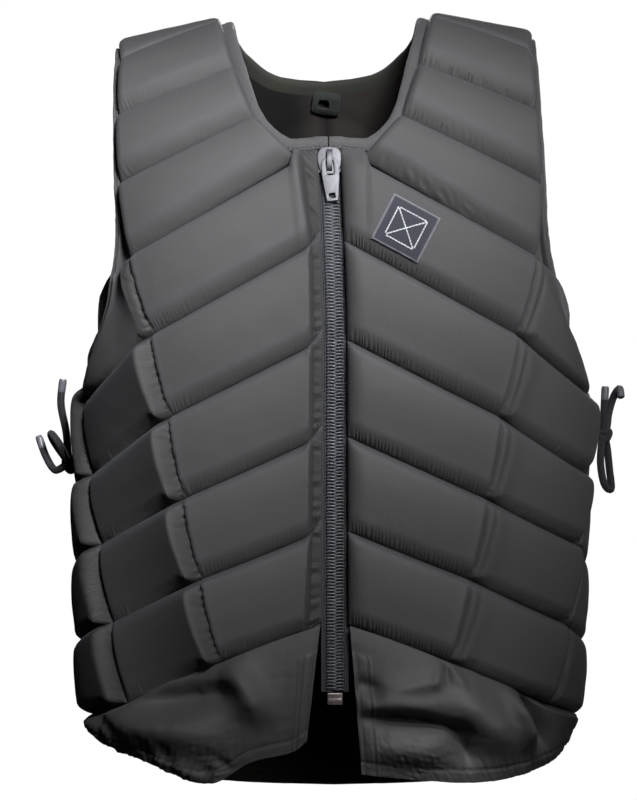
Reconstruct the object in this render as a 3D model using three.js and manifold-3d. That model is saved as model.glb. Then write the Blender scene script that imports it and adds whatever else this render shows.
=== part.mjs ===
import * as THREE from 'three';
import { mergeVertices } from 'three/addons/utils/BufferGeometryUtils.js';
import Module from 'manifold-3d';

// Padded riding vest in millimetres: +X is the wearer's left, -Y the front, +Z up.
// The origin lies midway between the straps, level with the underside of their outer ends.
const foam = 18; // chest block over the lining
const shoulderFoam = 14; // thinner block on the strap and shoulder
const seamRise = 6; // stitched rim of a block over the lining
const rimRadius = 13; // rounding of a block's edge
const seat = 0.9; // clearance of a block over the lining
const seamGap = 0.8; // inset of a block from its seam line
const wall = 2; // lining and hem cloth
const placketBand = 11; // flat strip beside the zip
const hingeBand = 13; // flat strip between chest and side columns
const flankBand = 8; // flat strip between side column and flank
const squareness = 2.4; // superellipse exponent of the torso sections
const shoulderSlope = 0.21; // fall of the shoulder line per mm outward
const strapMiddle = 120; // distance of the strap's middle from the centre plane
const zipHalf = 10.4; // half of the zip's width between the fronts
const frontEdge = 11; // distance of each front's zip edge from the centre plane
const frontEdgeGirth = 97; // lacing edge of the fronts, degrees round from the centre front
const flankGirth = 93; // outer end of the flank blocks
const backEdgeGirth = 107; // lacing edge of the back
const backPadGirth = 112; // outer end of the back blocks
const armEdge = 158.5; // half the distance between the armhole edges of the straps
const laceRadius = 2.5;
const laceSeat = 0.9; // clearance of the lace over the lining
const swayAcross = -7; // the shoulders hang this far to the right of the hem
const swayRoll = 0.022; // and the left one higher, per mm from the centre plane
const hemGap = 0.7; // clearance of a hem below the lining's foot
const centreLap = 0.4; // each half of a one-piece panel passes the centre plane by this much

// Torso sections on the lining's outer face, from below the hem to the shoulder crest
const sections = [
  { height: -700, halfWidth: 172, frontDepth: 98, backDepth: 114 },
  { height: -610, halfWidth: 177, frontDepth: 103, backDepth: 112 },
  { height: -520, halfWidth: 182, frontDepth: 107, backDepth: 110 },
  { height: -420, halfWidth: 185, frontDepth: 110, backDepth: 109 },
  { height: -320, halfWidth: 187, frontDepth: 113, backDepth: 110 },
  { height: -230, halfWidth: 190, frontDepth: 114, backDepth: 113 },
  { height: -150, halfWidth: 198, frontDepth: 106, backDepth: 110 },
  { height: -90, halfWidth: 208, frontDepth: 91, backDepth: 99 },
  { height: -45, halfWidth: 218, frontDepth: 67, backDepth: 78 },
  { height: -9, halfWidth: 226, frontDepth: 38, backDepth: 46 },
  { height: 10, halfWidth: 230, frontDepth: 0, backDepth: 0 },
];

// Seams across the strap: neck end and armhole end, seen from the front
const strapSeams = [
  { innerX: 84, innerHeight: 12, outerX: 155, outerHeight: -13 },
  { innerX: 75, innerHeight: -25, outerX: 156, outerHeight: -57 },
  { innerX: 62, innerHeight: -65, outerX: 155, outerHeight: -109 },
  { innerX: 34, innerHeight: -98, outerX: 148, outerHeight: -165 },
];

// Seams across the front: zip end, rib seam, flank seam and lacing end
const chestSeams = [
  { innerHeight: -89, outerX: 148, outerHeight: -165, flankAngle: 53, flankHeight: -177, edgeHeight: -200 },
  { innerHeight: -157, outerX: 133, outerHeight: -225, flankAngle: 86, flankHeight: -274, edgeHeight: -289 },
  { innerHeight: -231, outerX: 120, outerHeight: -287, flankAngle: 79, flankHeight: -333, edgeHeight: -352 },
  { innerHeight: -303, outerX: 110, outerHeight: -349, flankAngle: 71, flankHeight: -387, edgeHeight: -412 },
  { innerHeight: -374, outerX: 98, outerHeight: -410, flankAngle: 64, flankHeight: -447, edgeHeight: -470 },
  { innerHeight: -444, outerX: 84, outerHeight: -472, flankAngle: 57, flankHeight: -507, edgeHeight: -525 },
];

// Seams across the back: spine end and outer end
const backSeams = [
  { innerHeight: -34, outerAngle: 139, outerHeight: -36 },
  { innerHeight: -125, outerAngle: 131, outerHeight: -150 },
  { innerHeight: -215, outerAngle: backPadGirth, outerHeight: -290 },
  { innerHeight: -305, outerAngle: backPadGirth, outerHeight: -365 },
  { innerHeight: -395, outerAngle: backPadGirth, outerHeight: -440 },
  { innerHeight: -485, outerAngle: backPadGirth, outerHeight: -520 },
];

// Lining edge of each front: neck or zip side, and armhole or lacing side
const frontOutline = [
  { innerX: 82, innerHeight: 40, outerX: armEdge, outerHeight: 40 },
  { innerX: 82, innerHeight: 12, outerX: armEdge, outerHeight: -16 },
  { innerX: 71, innerHeight: -25, outerX: armEdge, outerHeight: -62 },
  { innerX: 58, innerHeight: -64, outerX: armEdge, outerHeight: -113 },
  { innerX: 35, innerHeight: -86, outerX: armEdge, outerHeight: -145 },
  { innerX: frontEdge, innerHeight: -87, outerX: 163, outerHeight: -179 },
  { innerX: frontEdge, innerHeight: -125, outerAngle: 77, outerHeight: -232 },
  { innerX: frontEdge, innerHeight: -157, outerAngle: frontEdgeGirth, outerHeight: -283 },
  { innerX: frontEdge, innerHeight: -231, outerAngle: frontEdgeGirth, outerHeight: -350 },
  { innerX: frontEdge, innerHeight: -303, outerAngle: frontEdgeGirth, outerHeight: -412 },
  { innerX: frontEdge, innerHeight: -374, outerAngle: frontEdgeGirth, outerHeight: -470 },
  { innerX: frontEdge, innerHeight: -446, outerAngle: frontEdgeGirth, outerHeight: -528, sag: 17 },
];

// Lining edge of the back: neck or spine side, and armhole or lacing side
const backOutline = [
  { innerX: 82, innerHeight: 40, outerX: armEdge, outerHeight: 40 },
  { innerX: 78, innerHeight: 0, outerX: armEdge, outerHeight: -28 },
  { innerX: 52, innerHeight: -21, outerX: armEdge, outerHeight: -64 },
  { innerX: 0, innerHeight: -26, outerX: armEdge, outerHeight: -98 },
  { innerX: 0, innerHeight: -68, outerX: armEdge, outerHeight: -130 },
  { innerX: 0, innerHeight: -120, outerX: 160, outerHeight: -163 },
  { innerX: 0, innerHeight: -168, outerAngle: 118, outerHeight: -226 },
  { innerX: 0, innerHeight: -215, outerAngle: backEdgeGirth, outerHeight: -283 },
  { innerX: 0, innerHeight: -305, outerAngle: backEdgeGirth, outerHeight: -365 },
  { innerX: 0, innerHeight: -395, outerAngle: backEdgeGirth, outerHeight: -440 },
  { innerX: 0, innerHeight: -488, outerAngle: backEdgeGirth, outerHeight: -528, sag: 0 },
];

// Hems: height of the lower edge and how far the cloth stands off the torso
const hemRight = [
  { x: frontEdge, bottom: -514, puff: 2 },
  { x: 20, bottom: -536, puff: 5 },
  { x: 36, bottom: -547, puff: 9 },
  { x: 64, bottom: -552, puff: 13 },
  { x: 90, bottom: -566, puff: 18 },
  { x: 118, bottom: -561, puff: 12 },
  { x: 143, bottom: -552, puff: 15 },
  { angle: 68, bottom: -544, puff: 11 },
  { angle: 82, bottom: -541, puff: 8 },
  { angle: 97, bottom: -540, puff: 5 },
];
const hemLeft = [
  { x: frontEdge, bottom: -524, puff: 2 },
  { x: 22, bottom: -560, puff: 6 },
  { x: 42, bottom: -559, puff: 13 },
  { x: 74, bottom: -562, puff: 17 },
  { x: 100, bottom: -564, puff: 12 },
  { x: 124, bottom: -564, puff: 16 },
  { x: 146, bottom: -562, puff: 13 },
  { angle: 66, bottom: -554, puff: 9 },
  { angle: 82, bottom: -541, puff: 8 },
  { angle: 97, bottom: -540, puff: 5 },
];
const tailCut = [
  { angle: 107, bottom: -545, puff: 3 },
  { angle: 122, bottom: -566, puff: 6 },
  { angle: 140, bottom: -583, puff: 8 },
  { angle: 160, bottom: -591, puff: 7 },
  { angle: 180, bottom: -594, puff: 6 },
];

// Free runs of each lace: out from the centre plane, back from the middle plane, and height
const laceRuns = {
  right: {
    knot: { out: 211, back: 30, height: -326 },
    upperEnd: [
      { out: 213, back: 31, height: -318 },
      { out: 215, back: 34, height: -300 },
      { out: 219, back: 33, height: -278 },
      { out: 217, back: 30, height: -258 },
    ],
    outerEnd: [
      { out: 216, back: 30, height: -328 },
      { out: 224, back: 34, height: -331 },
      { out: 232, back: 42, height: -320 },
      { out: 238, back: 46, height: -304 },
    ],
    bow: [
      { out: 214, back: 24, height: -322 },
      { out: 219, back: 18, height: -310 },
      { out: 226, back: 24, height: -302 },
      { out: 225, back: 35, height: -308 },
      { out: 217, back: 36, height: -320 },
    ],
  },
  left: {
    knot: { out: 216, back: 30, height: -303 },
    upperEnd: [
      { out: 216, back: 28, height: -296 },
      { out: 216, back: 26, height: -284 },
      { out: 217, back: 26, height: -264 },
    ],
    outerEnd: [
      { out: 220, back: 34, height: -297 },
      { out: 224, back: 38, height: -284 },
      { out: 231, back: 38, height: -270 },
      { out: 236, back: 34, height: -266 },
      { out: 236, back: 30, height: -274 },
    ],
    bow: [
      { out: 214, back: 26, height: -310 },
      { out: 213, back: 24, height: -326 },
      { out: 216, back: 25, height: -342 },
      { out: 222, back: 30, height: -346 },
      { out: 221, back: 34, height: -330 },
      { out: 219, back: 34, height: -312 },
    ],
  },
};
const laceTop = -300;
const laceStep = 41;
const laceCrossings = 5;

const cloth = new THREE.MeshStandardMaterial({ color: 0x3a3a40, roughness: 0.7 });
const liningCloth = new THREE.MeshStandardMaterial({ color: 0x4a443e, roughness: 0.9 });
const tapeCloth = new THREE.MeshStandardMaterial({ color: 0x2c2c30, roughness: 0.8 });
const cordCloth = new THREE.MeshStandardMaterial({ color: 0x26262a, roughness: 0.85 });
const steel = new THREE.MeshStandardMaterial({ color: 0xa8aab0, roughness: 0.35, metalness: 0.8 });

const vest = new THREE.Group();
const wasm = await Module();
wasm.setup();

const spine = new THREE.CatmullRomCurve3(
  [
    ...sections.map((s) => new THREE.Vector3(s.halfWidth, -s.frontDepth, s.height)),
    ...sections.slice(0, -1).reverse().map((s) => new THREE.Vector3(s.halfWidth, s.backDepth, s.height)),
  ],
  false,
  'catmullrom',
  0.5,
);

// Torso surface: station runs up the front, over the crest at 0.5 and down the back.
// Girth turns from the centre line to the side; past 90 degrees it is the other face.
function torso(station, girth) {
  const turned = girth > 90;
  const s = spine.getPoint(turned ? 1 - station : station);
  const angle = THREE.MathUtils.degToRad(turned ? 180 - girth : girth);
  const power = 2 / squareness;
  const x = s.x * Math.sign(angle) * Math.abs(Math.sin(angle)) ** power;
  const y = s.y * Math.max(Math.cos(angle), 0) ** power;
  const slope = shoulderSlope * THREE.MathUtils.smoothstep(s.z, -150, -20);
  return new THREE.Vector3(x, y, s.z - slope * (Math.abs(x) - strapMiddle));
}

function normalAt(station, girth) {
  const across = torso(station, girth + 0.4).sub(torso(station, girth - 0.4));
  const along = torso(station + 0.002, girth).sub(torso(station - 0.002, girth));
  return across.cross(along).normalize();
}

function skin(station, girth, rise) {
  return torso(station, girth).addScaledVector(normalAt(station, girth), rise);
}

function bisect(low, high, below) {
  let a = low;
  let b = high;
  for (let i = 0; i < 36; i++) {
    const middle = (a + b) / 2;
    if (below(middle)) a = middle;
    else b = middle;
  }
  return a;
}

function stationAt(girth, height) {
  return bisect(0, 0.5, (s) => torso(s, girth).z < height);
}

// Place on the torso from a height and either a girth angle or a distance from the centre plane
function place(height, angle, x, onBack) {
  const turn = (g) => (onBack ? 180 - g : g);
  const girth = angle ?? turn(bisect(0, 90, (g) => torso(stationAt(turn(g), height), turn(g)).x < x));
  return new THREE.Vector2(girth, stationAt(girth, height));
}

// A back place counted on from the crest, for pieces that run over the shoulder
function overCrest(p) {
  return new THREE.Vector2(180 - p.x, 1 - p.y);
}

// Closed body from its vertices and triangles, turned so that its faces point out
function solidFrom(vertices, triangles) {
  let volume = 0;
  for (let i = 0; i < triangles.length; i += 3) {
    const [a, b, c] = triangles.slice(i, i + 3).map((k) => vertices[k]);
    volume += a.dot(b.clone().cross(c));
  }
  if (volume < 0) triangles.reverse();
  const geometry = new THREE.BufferGeometry();
  const numbers = vertices.flatMap((v) => v.toArray());
  geometry.setAttribute('position', new THREE.Float32BufferAttribute(numbers, 3));
  geometry.setIndex(triangles);
  return geometry;
}

// Closed body between two grids of points, the outer face first
function slab(outer, inner) {
  const rows = outer.length;
  const columns = outer[0].length;
  const vertices = [...outer.flat(), ...inner.flat()];
  const at = (i, j, face) => face * rows * columns + i * columns + j;
  const triangles = [];
  const quad = (a, b, c, d) => triangles.push(a, b, c, a, c, d);
  for (let i = 0; i < rows - 1; i++) {
    for (let j = 0; j < columns - 1; j++) {
      quad(at(i, j, 0), at(i + 1, j, 0), at(i + 1, j + 1, 0), at(i, j + 1, 0));
      quad(at(i, j, 1), at(i, j + 1, 1), at(i + 1, j + 1, 1), at(i + 1, j, 1));
    }
  }
  for (let i = 0; i < rows - 1; i++) {
    quad(at(i, 0, 0), at(i, 0, 1), at(i + 1, 0, 1), at(i + 1, 0, 0));
    quad(at(i, columns - 1, 0), at(i + 1, columns - 1, 0), at(i + 1, columns - 1, 1), at(i, columns - 1, 1));
  }
  for (let j = 0; j < columns - 1; j++) {
    quad(at(0, j, 0), at(0, j + 1, 0), at(0, j + 1, 1), at(0, j, 1));
    quad(at(rows - 1, j, 0), at(rows - 1, j, 1), at(rows - 1, j + 1, 1), at(rows - 1, j + 1, 0));
  }
  return solidFrom(vertices, triangles);
}

function asManifold(geometry) {
  const bare = geometry.clone();
  bare.deleteAttribute('normal');
  bare.deleteAttribute('uv');
  const merged = mergeVertices(bare, 1e-4);
  return new wasm.Manifold(
    new wasm.Mesh({
      numProp: 3,
      vertProperties: new Float32Array(merged.attributes.position.array),
      triVerts: new Uint32Array(merged.index.array),
    }),
  );
}

function fromManifold(solid) {
  const mesh = solid.getMesh();
  const geometry = new THREE.BufferGeometry();
  geometry.setAttribute('position', new THREE.BufferAttribute(new Float32Array(mesh.vertProperties), 3));
  geometry.setIndex(new THREE.BufferAttribute(new Uint32Array(mesh.triVerts), 1));
  return geometry;
}

// A left half and its mirror image, lapped at the centre plane
function bothSides(half) {
  const other = half.clone().scale(-1, 1, 1).translate(centreLap, 0, 0);
  other.index.array.reverse();
  return [half.translate(-centreLap, 0, 0), other];
}

function joined(geometries) {
  return fromManifold(geometries.map(asManifold).reduce((a, b) => a.add(b)));
}

// Uneven hang of the upper half
function swayAt(x, z) {
  const across = swayAcross * THREE.MathUtils.smoothstep(z, -240, 20);
  return new THREE.Vector3(across, 0, swayRoll * x * THREE.MathUtils.smoothstep(z, -120, 10));
}

function add(name, geometry, material, side) {
  const shape = geometry.clone();
  if (side < 0) {
    shape.scale(-1, 1, 1);
    shape.index.array.reverse();
  }
  const points = shape.attributes.position;
  for (let i = 0; side !== 0 && i < points.count; i++) {
    const p = new THREE.Vector3().fromBufferAttribute(points, i);
    p.add(swayAt(p.x, p.z));
    points.setXYZ(i, p.x, p.y, p.z);
  }
  const mesh = new THREE.Mesh(shape, material);
  mesh.name = name;
  vest.add(mesh);
}

// Distances along a block's edge: flat band, rim, even steps over the top, and the other rim
function stops(length, band, middle) {
  const rim = Math.min(rimRadius, 0.42 * (length - band));
  const top = Array.from({ length: middle + 2 }, (_, k) => {
    return THREE.MathUtils.lerp(band + rim, length - rim, k / (middle + 1));
  });
  return [...(band > 0 ? [0, band] : [0]), ...top, length];
}

// Quarter round from the rim to the top of the block
function rounding(distance, rim) {
  const short = 1 - THREE.MathUtils.clamp(distance / rim, 0, 1);
  return Math.sqrt(1 - short * short);
}

// Foam blocks between seams: each seam has an inner and an outer place on the torso.
// The rise falls to the stitched rim at every seam, and stays low on the flat band.
function blocks(seams, { thickness = foam, band = 0, across = 1, down = 0 }) {
  const between = (a, b, f) => a.clone().lerp(b, f);
  const at = (p) => torso(p.y, p.x);
  const outer = [];
  const inner = [];
  for (let k = 0; k < seams.length - 1; k++) {
    const upper = seams[k];
    const lower = seams[k + 1];
    const drop = Math.max(
      at(between(upper.inner, upper.outer, 0.5)).distanceTo(at(between(lower.inner, lower.outer, 0.5))),
      at(upper.inner).distanceTo(at(lower.inner)) * 0.6,
    );
    const reachOf = (seam) => at(seam.inner).distanceTo(at(seam.outer));
    const width = 0.5 * (reachOf(upper) + reachOf(lower));
    const first = k === 0 ? seamGap : 0;
    const last = k === seams.length - 2 ? seamGap : 0;
    const length = drop - first - last;
    const rows = stops(length, 0, down);
    const columns = stops(width - 2 * seamGap, band, across);
    const rowRim = Math.min(rimRadius, 0.42 * length);
    const columnRim = Math.min(rimRadius, 0.42 * (width - 2 * seamGap - band));
    rows.forEach((q, i) => {
      if (k > 0 && i === 0) return;
      const f = (q + first) / drop;
      const left = between(upper.inner, lower.inner, f);
      const right = between(upper.outer, lower.outer, f);
      const vertical = rounding(Math.min(q, length - q), rowRim);
      const line = columns.map((c) => {
        const spot = between(left, right, (c + seamGap) / width);
        const reach = Math.min(c - band, width - 2 * seamGap - c);
        const rise = seamRise + (thickness - seamRise) * vertical * rounding(reach, columnRim);
        return [skin(spot.y, spot.x, rise), skin(spot.y, spot.x, seat)];
      });
      outer.push(line.map((p) => p[0]));
      inner.push(line.map((p) => p[1]));
    });
  }
  return slab(outer, inner);
}

// Places down one edge of a panel: a smooth curve through the first rows, straight below them
function edgeOf(rows, bend, steps) {
  const curve = new THREE.CatmullRomCurve3(
    rows.slice(0, bend).map((p) => new THREE.Vector3(p.x, p.y, 0)),
    false,
    'catmullrom',
    0.5,
  );
  return Array.from({ length: (rows.length - 1) * steps + 1 }, (_, k) => {
    const at = k / steps;
    if (at <= bend - 1) {
      const p = curve.getPoint(at / (bend - 1));
      return new THREE.Vector2(p.x, p.y);
    }
    const i = Math.min(Math.floor(at), rows.length - 2);
    return rows[i].clone().lerp(rows[i + 1], at - i);
  });
}

// Both edges of a lining panel
function edgesOf(outline, neckRows, armRows, steps, onBack) {
  const inner = outline.map((r) => place(r.innerHeight, undefined, r.innerX, onBack));
  const outer = outline.map((r) => place(r.outerHeight, r.outerAngle, r.outerX, onBack));
  return { inner: edgeOf(inner, neckRows, steps), outer: edgeOf(outer, armRows, steps) };
}

// Foot of a lining panel between its edges, sagging in the middle
function footSpot(edges, sag, f) {
  const spot = edges.inner.at(-1).clone().lerp(edges.outer.at(-1), f);
  const height = torso(spot.y, spot.x).z - 4 * sag * f * (1 - f);
  return new THREE.Vector2(spot.x, stationAt(spot.x, height));
}

// Cloth wall between the two edges of a panel
function panel(edges, columns, sag) {
  const last = edges.inner.length - 1;
  const spots = edges.inner.map((a, k) =>
    Array.from({ length: columns + 1 }, (_, c) => {
      const f = c / columns;
      return k === last ? footSpot(edges, sag, f) : a.clone().lerp(edges.outer[k], f);
    }),
  );
  const face = (rise) => spots.map((row) => row.map((p) => skin(p.y, p.x, rise)));
  return slab(face(0), face(-wall));
}

// Edge tape: a profile swept along places on the torso, reaching out to one side of them
function binding(spots, width, side) {
  const profile = [
    [0.7, -wall],
    [0.9 * width, -0.7 * wall],
    [width, 0.8],
    [0.9 * width, 4.2],
    [0.5 * width, 5.8],
    [0.7, 5.2],
  ];
  const points = spots.map((p) => torso(p.y, p.x));
  return spots.map((p, i) => {
    const next = points[Math.min(i + 1, points.length - 1)];
    const along = next.clone().sub(points[Math.max(i - 1, 0)]).normalize();
    const normal = normalAt(p.y, p.x);
    const out = normal.clone().cross(along).multiplyScalar(side);
    return profile.map(([u, v]) => points[i].clone().addScaledVector(out, u).addScaledVector(normal, v));
  });
}

// Closed body through rings of points, with flat caps
function loft(rings) {
  const n = rings[0].length;
  const vertices = rings.flat();
  const triangles = [];
  for (let i = 0; i < rings.length - 1; i++) {
    for (let j = 0; j < n; j++) {
      const a = i * n + j;
      const b = i * n + ((j + 1) % n);
      triangles.push(a, b, b + n, a, b + n, a + n);
    }
  }
  const end = (rings.length - 1) * n;
  for (let j = 1; j < n - 1; j++) {
    triangles.push(0, j + 1, j);
    triangles.push(end, end + j, end + j + 1);
  }
  return solidFrom(vertices, triangles);
}

// Hanging hem: cloth that leaves the lining's foot, stands off and draws in at its cut
function hem(cut, edges, sag, steps, rows) {
  const ends = [edges.inner.at(-1).x, edges.outer.at(-1).x];
  const low = cut.map((r) => place(r.bottom, r.angle, r.x, false));
  const columns = Array.from({ length: (cut.length - 1) * steps + 1 }, (_, k) => {
    const i = Math.min(Math.floor(k / steps), cut.length - 2);
    const f = k / steps - i;
    const foot = low[i].clone().lerp(low[i + 1], f);
    const head = footSpot(edges, sag, (foot.x - ends[0]) / (ends[1] - ends[0]));
    head.y = stationAt(head.x, torso(head.y, head.x).z - hemGap);
    return { head, foot, puff: THREE.MathUtils.lerp(cut[i].puff, cut[i + 1].puff, f) };
  });
  const face = (lift) =>
    Array.from({ length: rows + 1 }, (_, i) => {
      const v = i / rows;
      return columns.map(({ head, foot, puff }) => {
        const spot = head.clone().lerp(foot, v);
        const rise = puff * Math.sin(Math.PI * v ** 0.8) ** 0.9 + 3 * v;
        return skin(spot.y, spot.x, rise + lift);
      });
    });
  return slab(face(0), face(-wall));
}

const strap = strapSeams.map((r) => ({
  inner: place(r.innerHeight, undefined, r.innerX, false),
  outer: place(r.outerHeight, undefined, r.outerX, false),
}));
const chest = chestSeams.map((r) => ({
  inner: place(r.innerHeight, undefined, frontEdge, false),
  outer: place(r.outerHeight, undefined, r.outerX, false),
}));
const ribs = chestSeams.map((r, i) => ({
  inner: chest[i].outer,
  outer: place(r.flankHeight, r.flankAngle, undefined, false),
}));
const flanks = chestSeams.slice(1).map((r, i) => ({
  inner: ribs[i + 1].outer,
  outer: place(r.edgeHeight, flankGirth, undefined, false),
}));
const rear = backSeams.map((r) => ({
  inner: place(r.outerHeight, r.outerAngle, undefined, true),
  outer: place(r.innerHeight, undefined, 4, true),
}));
const crest = [
  strap[0],
  {
    inner: overCrest(place(-22, undefined, 81, true)),
    outer: overCrest(place(-30, undefined, 155, true)),
  },
];

const frontEdges = edgesOf(frontOutline, 6, 8, 2, false);
const backEdges = edgesOf(backOutline, 4, 8, 2, true);
const frontSag = frontOutline.at(-1).sag;
const backSag = backOutline.at(-1).sag;
const frontLining = panel(frontEdges, 8, frontSag);
add('lining_back', joined(bothSides(panel(backEdges, 8, backSag))), liningCloth, 1);

// Neck tape from the zip over the shoulder to the back centre, and on round the other side
const halfNeck = binding(
  [...frontEdges.inner.slice(0, 11).reverse(), ...backEdges.inner.slice(1, 7).map(overCrest)],
  11,
  1,
);
const otherNeck = halfNeck.slice(0, -1).reverse();
const neckRings = [...halfNeck, ...otherNeck.map((r) => r.map((p) => new THREE.Vector3(-p.x, p.y, p.z)))];
add('neck_binding', loft(neckRings), tapeCloth, 1);

// Armhole tape from the front lacing edge over the shoulder to the back lacing edge
const armTape = loft(
  binding(
    [...frontEdges.outer.slice(0, 15).reverse(), ...backEdges.outer.slice(1, 15).map(overCrest)],
    8,
    -1,
  ),
);

function frameAt(height, rise) {
  const station = stationAt(0, height);
  const up = torso(station + 0.002, 0).sub(torso(station - 0.002, 0)).normalize();
  const out = normalAt(station, 0);
  return new THREE.Matrix4()
    .makeBasis(new THREE.Vector3(1, 0, 0), up, out)
    .setPosition(skin(station, 0, rise).add(swayAt(0, height)));
}

// Zip: tape with half of the coil, swept down the centre front
const sliderHeight = -95;
const zipTop = -80;
const zipFoot = -495;
function zipHalfTape() {
  const heights = [zipTop, sliderHeight + 4, sliderHeight + 1];
  for (let k = 0; k <= 12; k++) heights.push(THREE.MathUtils.lerp(sliderHeight - 2, zipFoot, k / 12));
  const rings = heights.map((h) => {
    const parted = h > sliderHeight;
    const near = parted ? 2.2 : 0.4;
    const coil = parted ? 0.25 : 3.2;
    const profile = [
      [near, -1],
      [zipHalf, -1],
      [zipHalf, 0],
      [6.3, 0],
      [5.6, 0.7 * coil],
      [3.4, coil],
      [near, 0.85 * coil],
    ];
    const girth = (x) => place(h, undefined, x, false);
    return profile.map(([x, rise]) => {
      const p = girth(x);
      return skin(p.y, p.x, rise);
    });
  });
  return loft(rings);
}

function rounded(width, height, radius) {
  const shape = new THREE.Shape();
  const w = width / 2;
  const h = height / 2;
  shape.moveTo(-w + radius, -h);
  shape.lineTo(w - radius, -h);
  shape.quadraticCurveTo(w, -h, w, -h + radius);
  shape.lineTo(w, h - radius);
  shape.quadraticCurveTo(w, h, w - radius, h);
  shape.lineTo(-w + radius, h);
  shape.quadraticCurveTo(-w, h, -w, h - radius);
  shape.lineTo(-w, -h + radius);
  shape.quadraticCurveTo(-w, -h, -w + radius, -h);
  return shape;
}

function outlineOf(pairs) {
  const right = pairs.map(([x, y]) => new THREE.Vector2(x, y));
  const left = [...pairs].reverse().map(([x, y]) => new THREE.Vector2(-x, y));
  return new THREE.Shape([...right, ...left]);
}

function plate(shape, depth, floor) {
  const flat = { depth, bevelEnabled: false, curveSegments: 3 };
  return new THREE.ExtrudeGeometry(shape, flat).translate(0, 0, floor);
}

// Slider: two plates on a post, flanges that guide the tapes, and a bridge for the pull
const sliderOutline = [[6.5, -11], [9.2, -1], [9.4, 5], [7.5, 9.5], [4, 11]];
const bridgeHalf = 2;
const pullAxis = 7.3;
function slider() {
  const arch = new THREE.Shape();
  arch.moveTo(-8.6, 5.2);
  arch.quadraticCurveTo(-8.2, 10.8, -3.5, 10.8);
  arch.lineTo(3.5, 10.8);
  arch.quadraticCurveTo(8.2, 10.8, 8.6, 5.2);
  arch.lineTo(6.6, 5.2);
  arch.quadraticCurveTo(6.4, 9, 3, 9);
  arch.lineTo(-3, 9);
  arch.quadraticCurveTo(-6.4, 9, -6.6, 5.2);
  const stretch = { depth: 2 * bridgeHalf, bevelEnabled: false, curveSegments: 4 };
  const bridge = new THREE.ExtrudeGeometry(arch, stretch);
  bridge.translate(0, 0, -bridgeHalf);
  bridge.applyMatrix4(
    new THREE.Matrix4().makeBasis(
      new THREE.Vector3(0, 1, 0),
      new THREE.Vector3(0, 0, 1),
      new THREE.Vector3(1, 0, 0),
    ),
  );
  const flange = (x) => new THREE.BoxGeometry(1.3, 14, 3.4).translate(x, -2, 2.5);
  const post = new THREE.BoxGeometry(2.6, 5, 8).translate(0, 6, 1);
  return joined([
    plate(outlineOf(sliderOutline), 1.7, 3.9),
    plate(outlineOf(sliderOutline.map(([x, y]) => [0.85 * x, 0.9 * y])), 1.4, -3.2),
    flange(7.4),
    flange(-7.4),
    post,
    bridge,
  ]);
}

// Pull tab: a bar under the bridge, an eye round it, and a tapering tab with a slot
const pullTilt = 2.5;
const pullLean = 4;
function pull() {
  const tab = outlineOf([[3.9, -32.5], [4.6, -31], [7, -10], [6.2, -2], [4.9, 0]]);
  tab.holes.push(new THREE.Path([
    new THREE.Vector2(-2.9, -9.6),
    new THREE.Vector2(2.9, -9.6),
    new THREE.Vector2(2.9, -0.6),
    new THREE.Vector2(-2.9, -0.6),
  ]));
  tab.holes.push(new THREE.Path([
    new THREE.Vector2(-2.2, -30),
    new THREE.Vector2(2.2, -30),
    new THREE.Vector2(2.2, -26.5),
    new THREE.Vector2(-2.2, -26.5),
  ]));
  const bar = new THREE.CylinderGeometry(1, 1, 9.8, 12).rotateZ(Math.PI / 2);
  return joined([plate(tab, 1.7, -0.85), bar])
    .rotateZ(THREE.MathUtils.degToRad(pullLean))
    .rotateX(THREE.MathUtils.degToRad(pullTilt));
}

// Lace: a tube along points
function cord(points, steps) {
  const curve = new THREE.CatmullRomCurve3(points, false, 'centripetal');
  const ring = new THREE.Shape(
    Array.from({ length: 8 }, (_, k) => {
      const a = (Math.PI * k) / 4;
      return new THREE.Vector2(laceRadius * Math.cos(a), laceRadius * Math.sin(a));
    }),
  );
  return new THREE.ExtrudeGeometry(ring, { extrudePath: curve, steps, bevelEnabled: false });
}

// Crossed lacing up the side opening; one strand passes over, the other under
function lacing(run) {
  const strand = (startsFront, lift) => {
    const points = [];
    for (let k = 0; k <= laceCrossings; k++) {
      const height = laceTop - laceStep * (laceCrossings - k);
      const girth = (k % 2 === 0) === startsFront ? 95 : 109.5;
      points.push(skin(stationAt(girth, height), girth, laceSeat + laceRadius));
      if (k === laceCrossings) break;
      const middle = height + laceStep / 2;
      points.push(skin(stationAt(102, middle), 102, laceSeat + laceRadius + lift));
    }
    return points;
  };
  const spot = (p) => new THREE.Vector3(p.out, p.back, p.height);
  const knot = spot(run.knot);
  const bottom = [strand(true, 0)[0], strand(false, 0)[0]];
  const tubes = [
    cord([...strand(true, 5.8), knot], 18),
    cord([...strand(false, 0.6), knot], 18),
    cord(bottom, 2),
  ];
  for (const list of [run.upperEnd, run.outerEnd, run.bow]) {
    const closing = list === run.bow ? [knot] : [];
    tubes.push(cord([knot, ...list.map(spot), ...closing], list.length * 2 + 2));
  }
  const tied = new THREE.SphereGeometry(5.5, 6, 4).rotateX(Math.PI / 2).translate(knot.x, knot.y, knot.z);
  return joined([...tubes, tied]);
}

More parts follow.
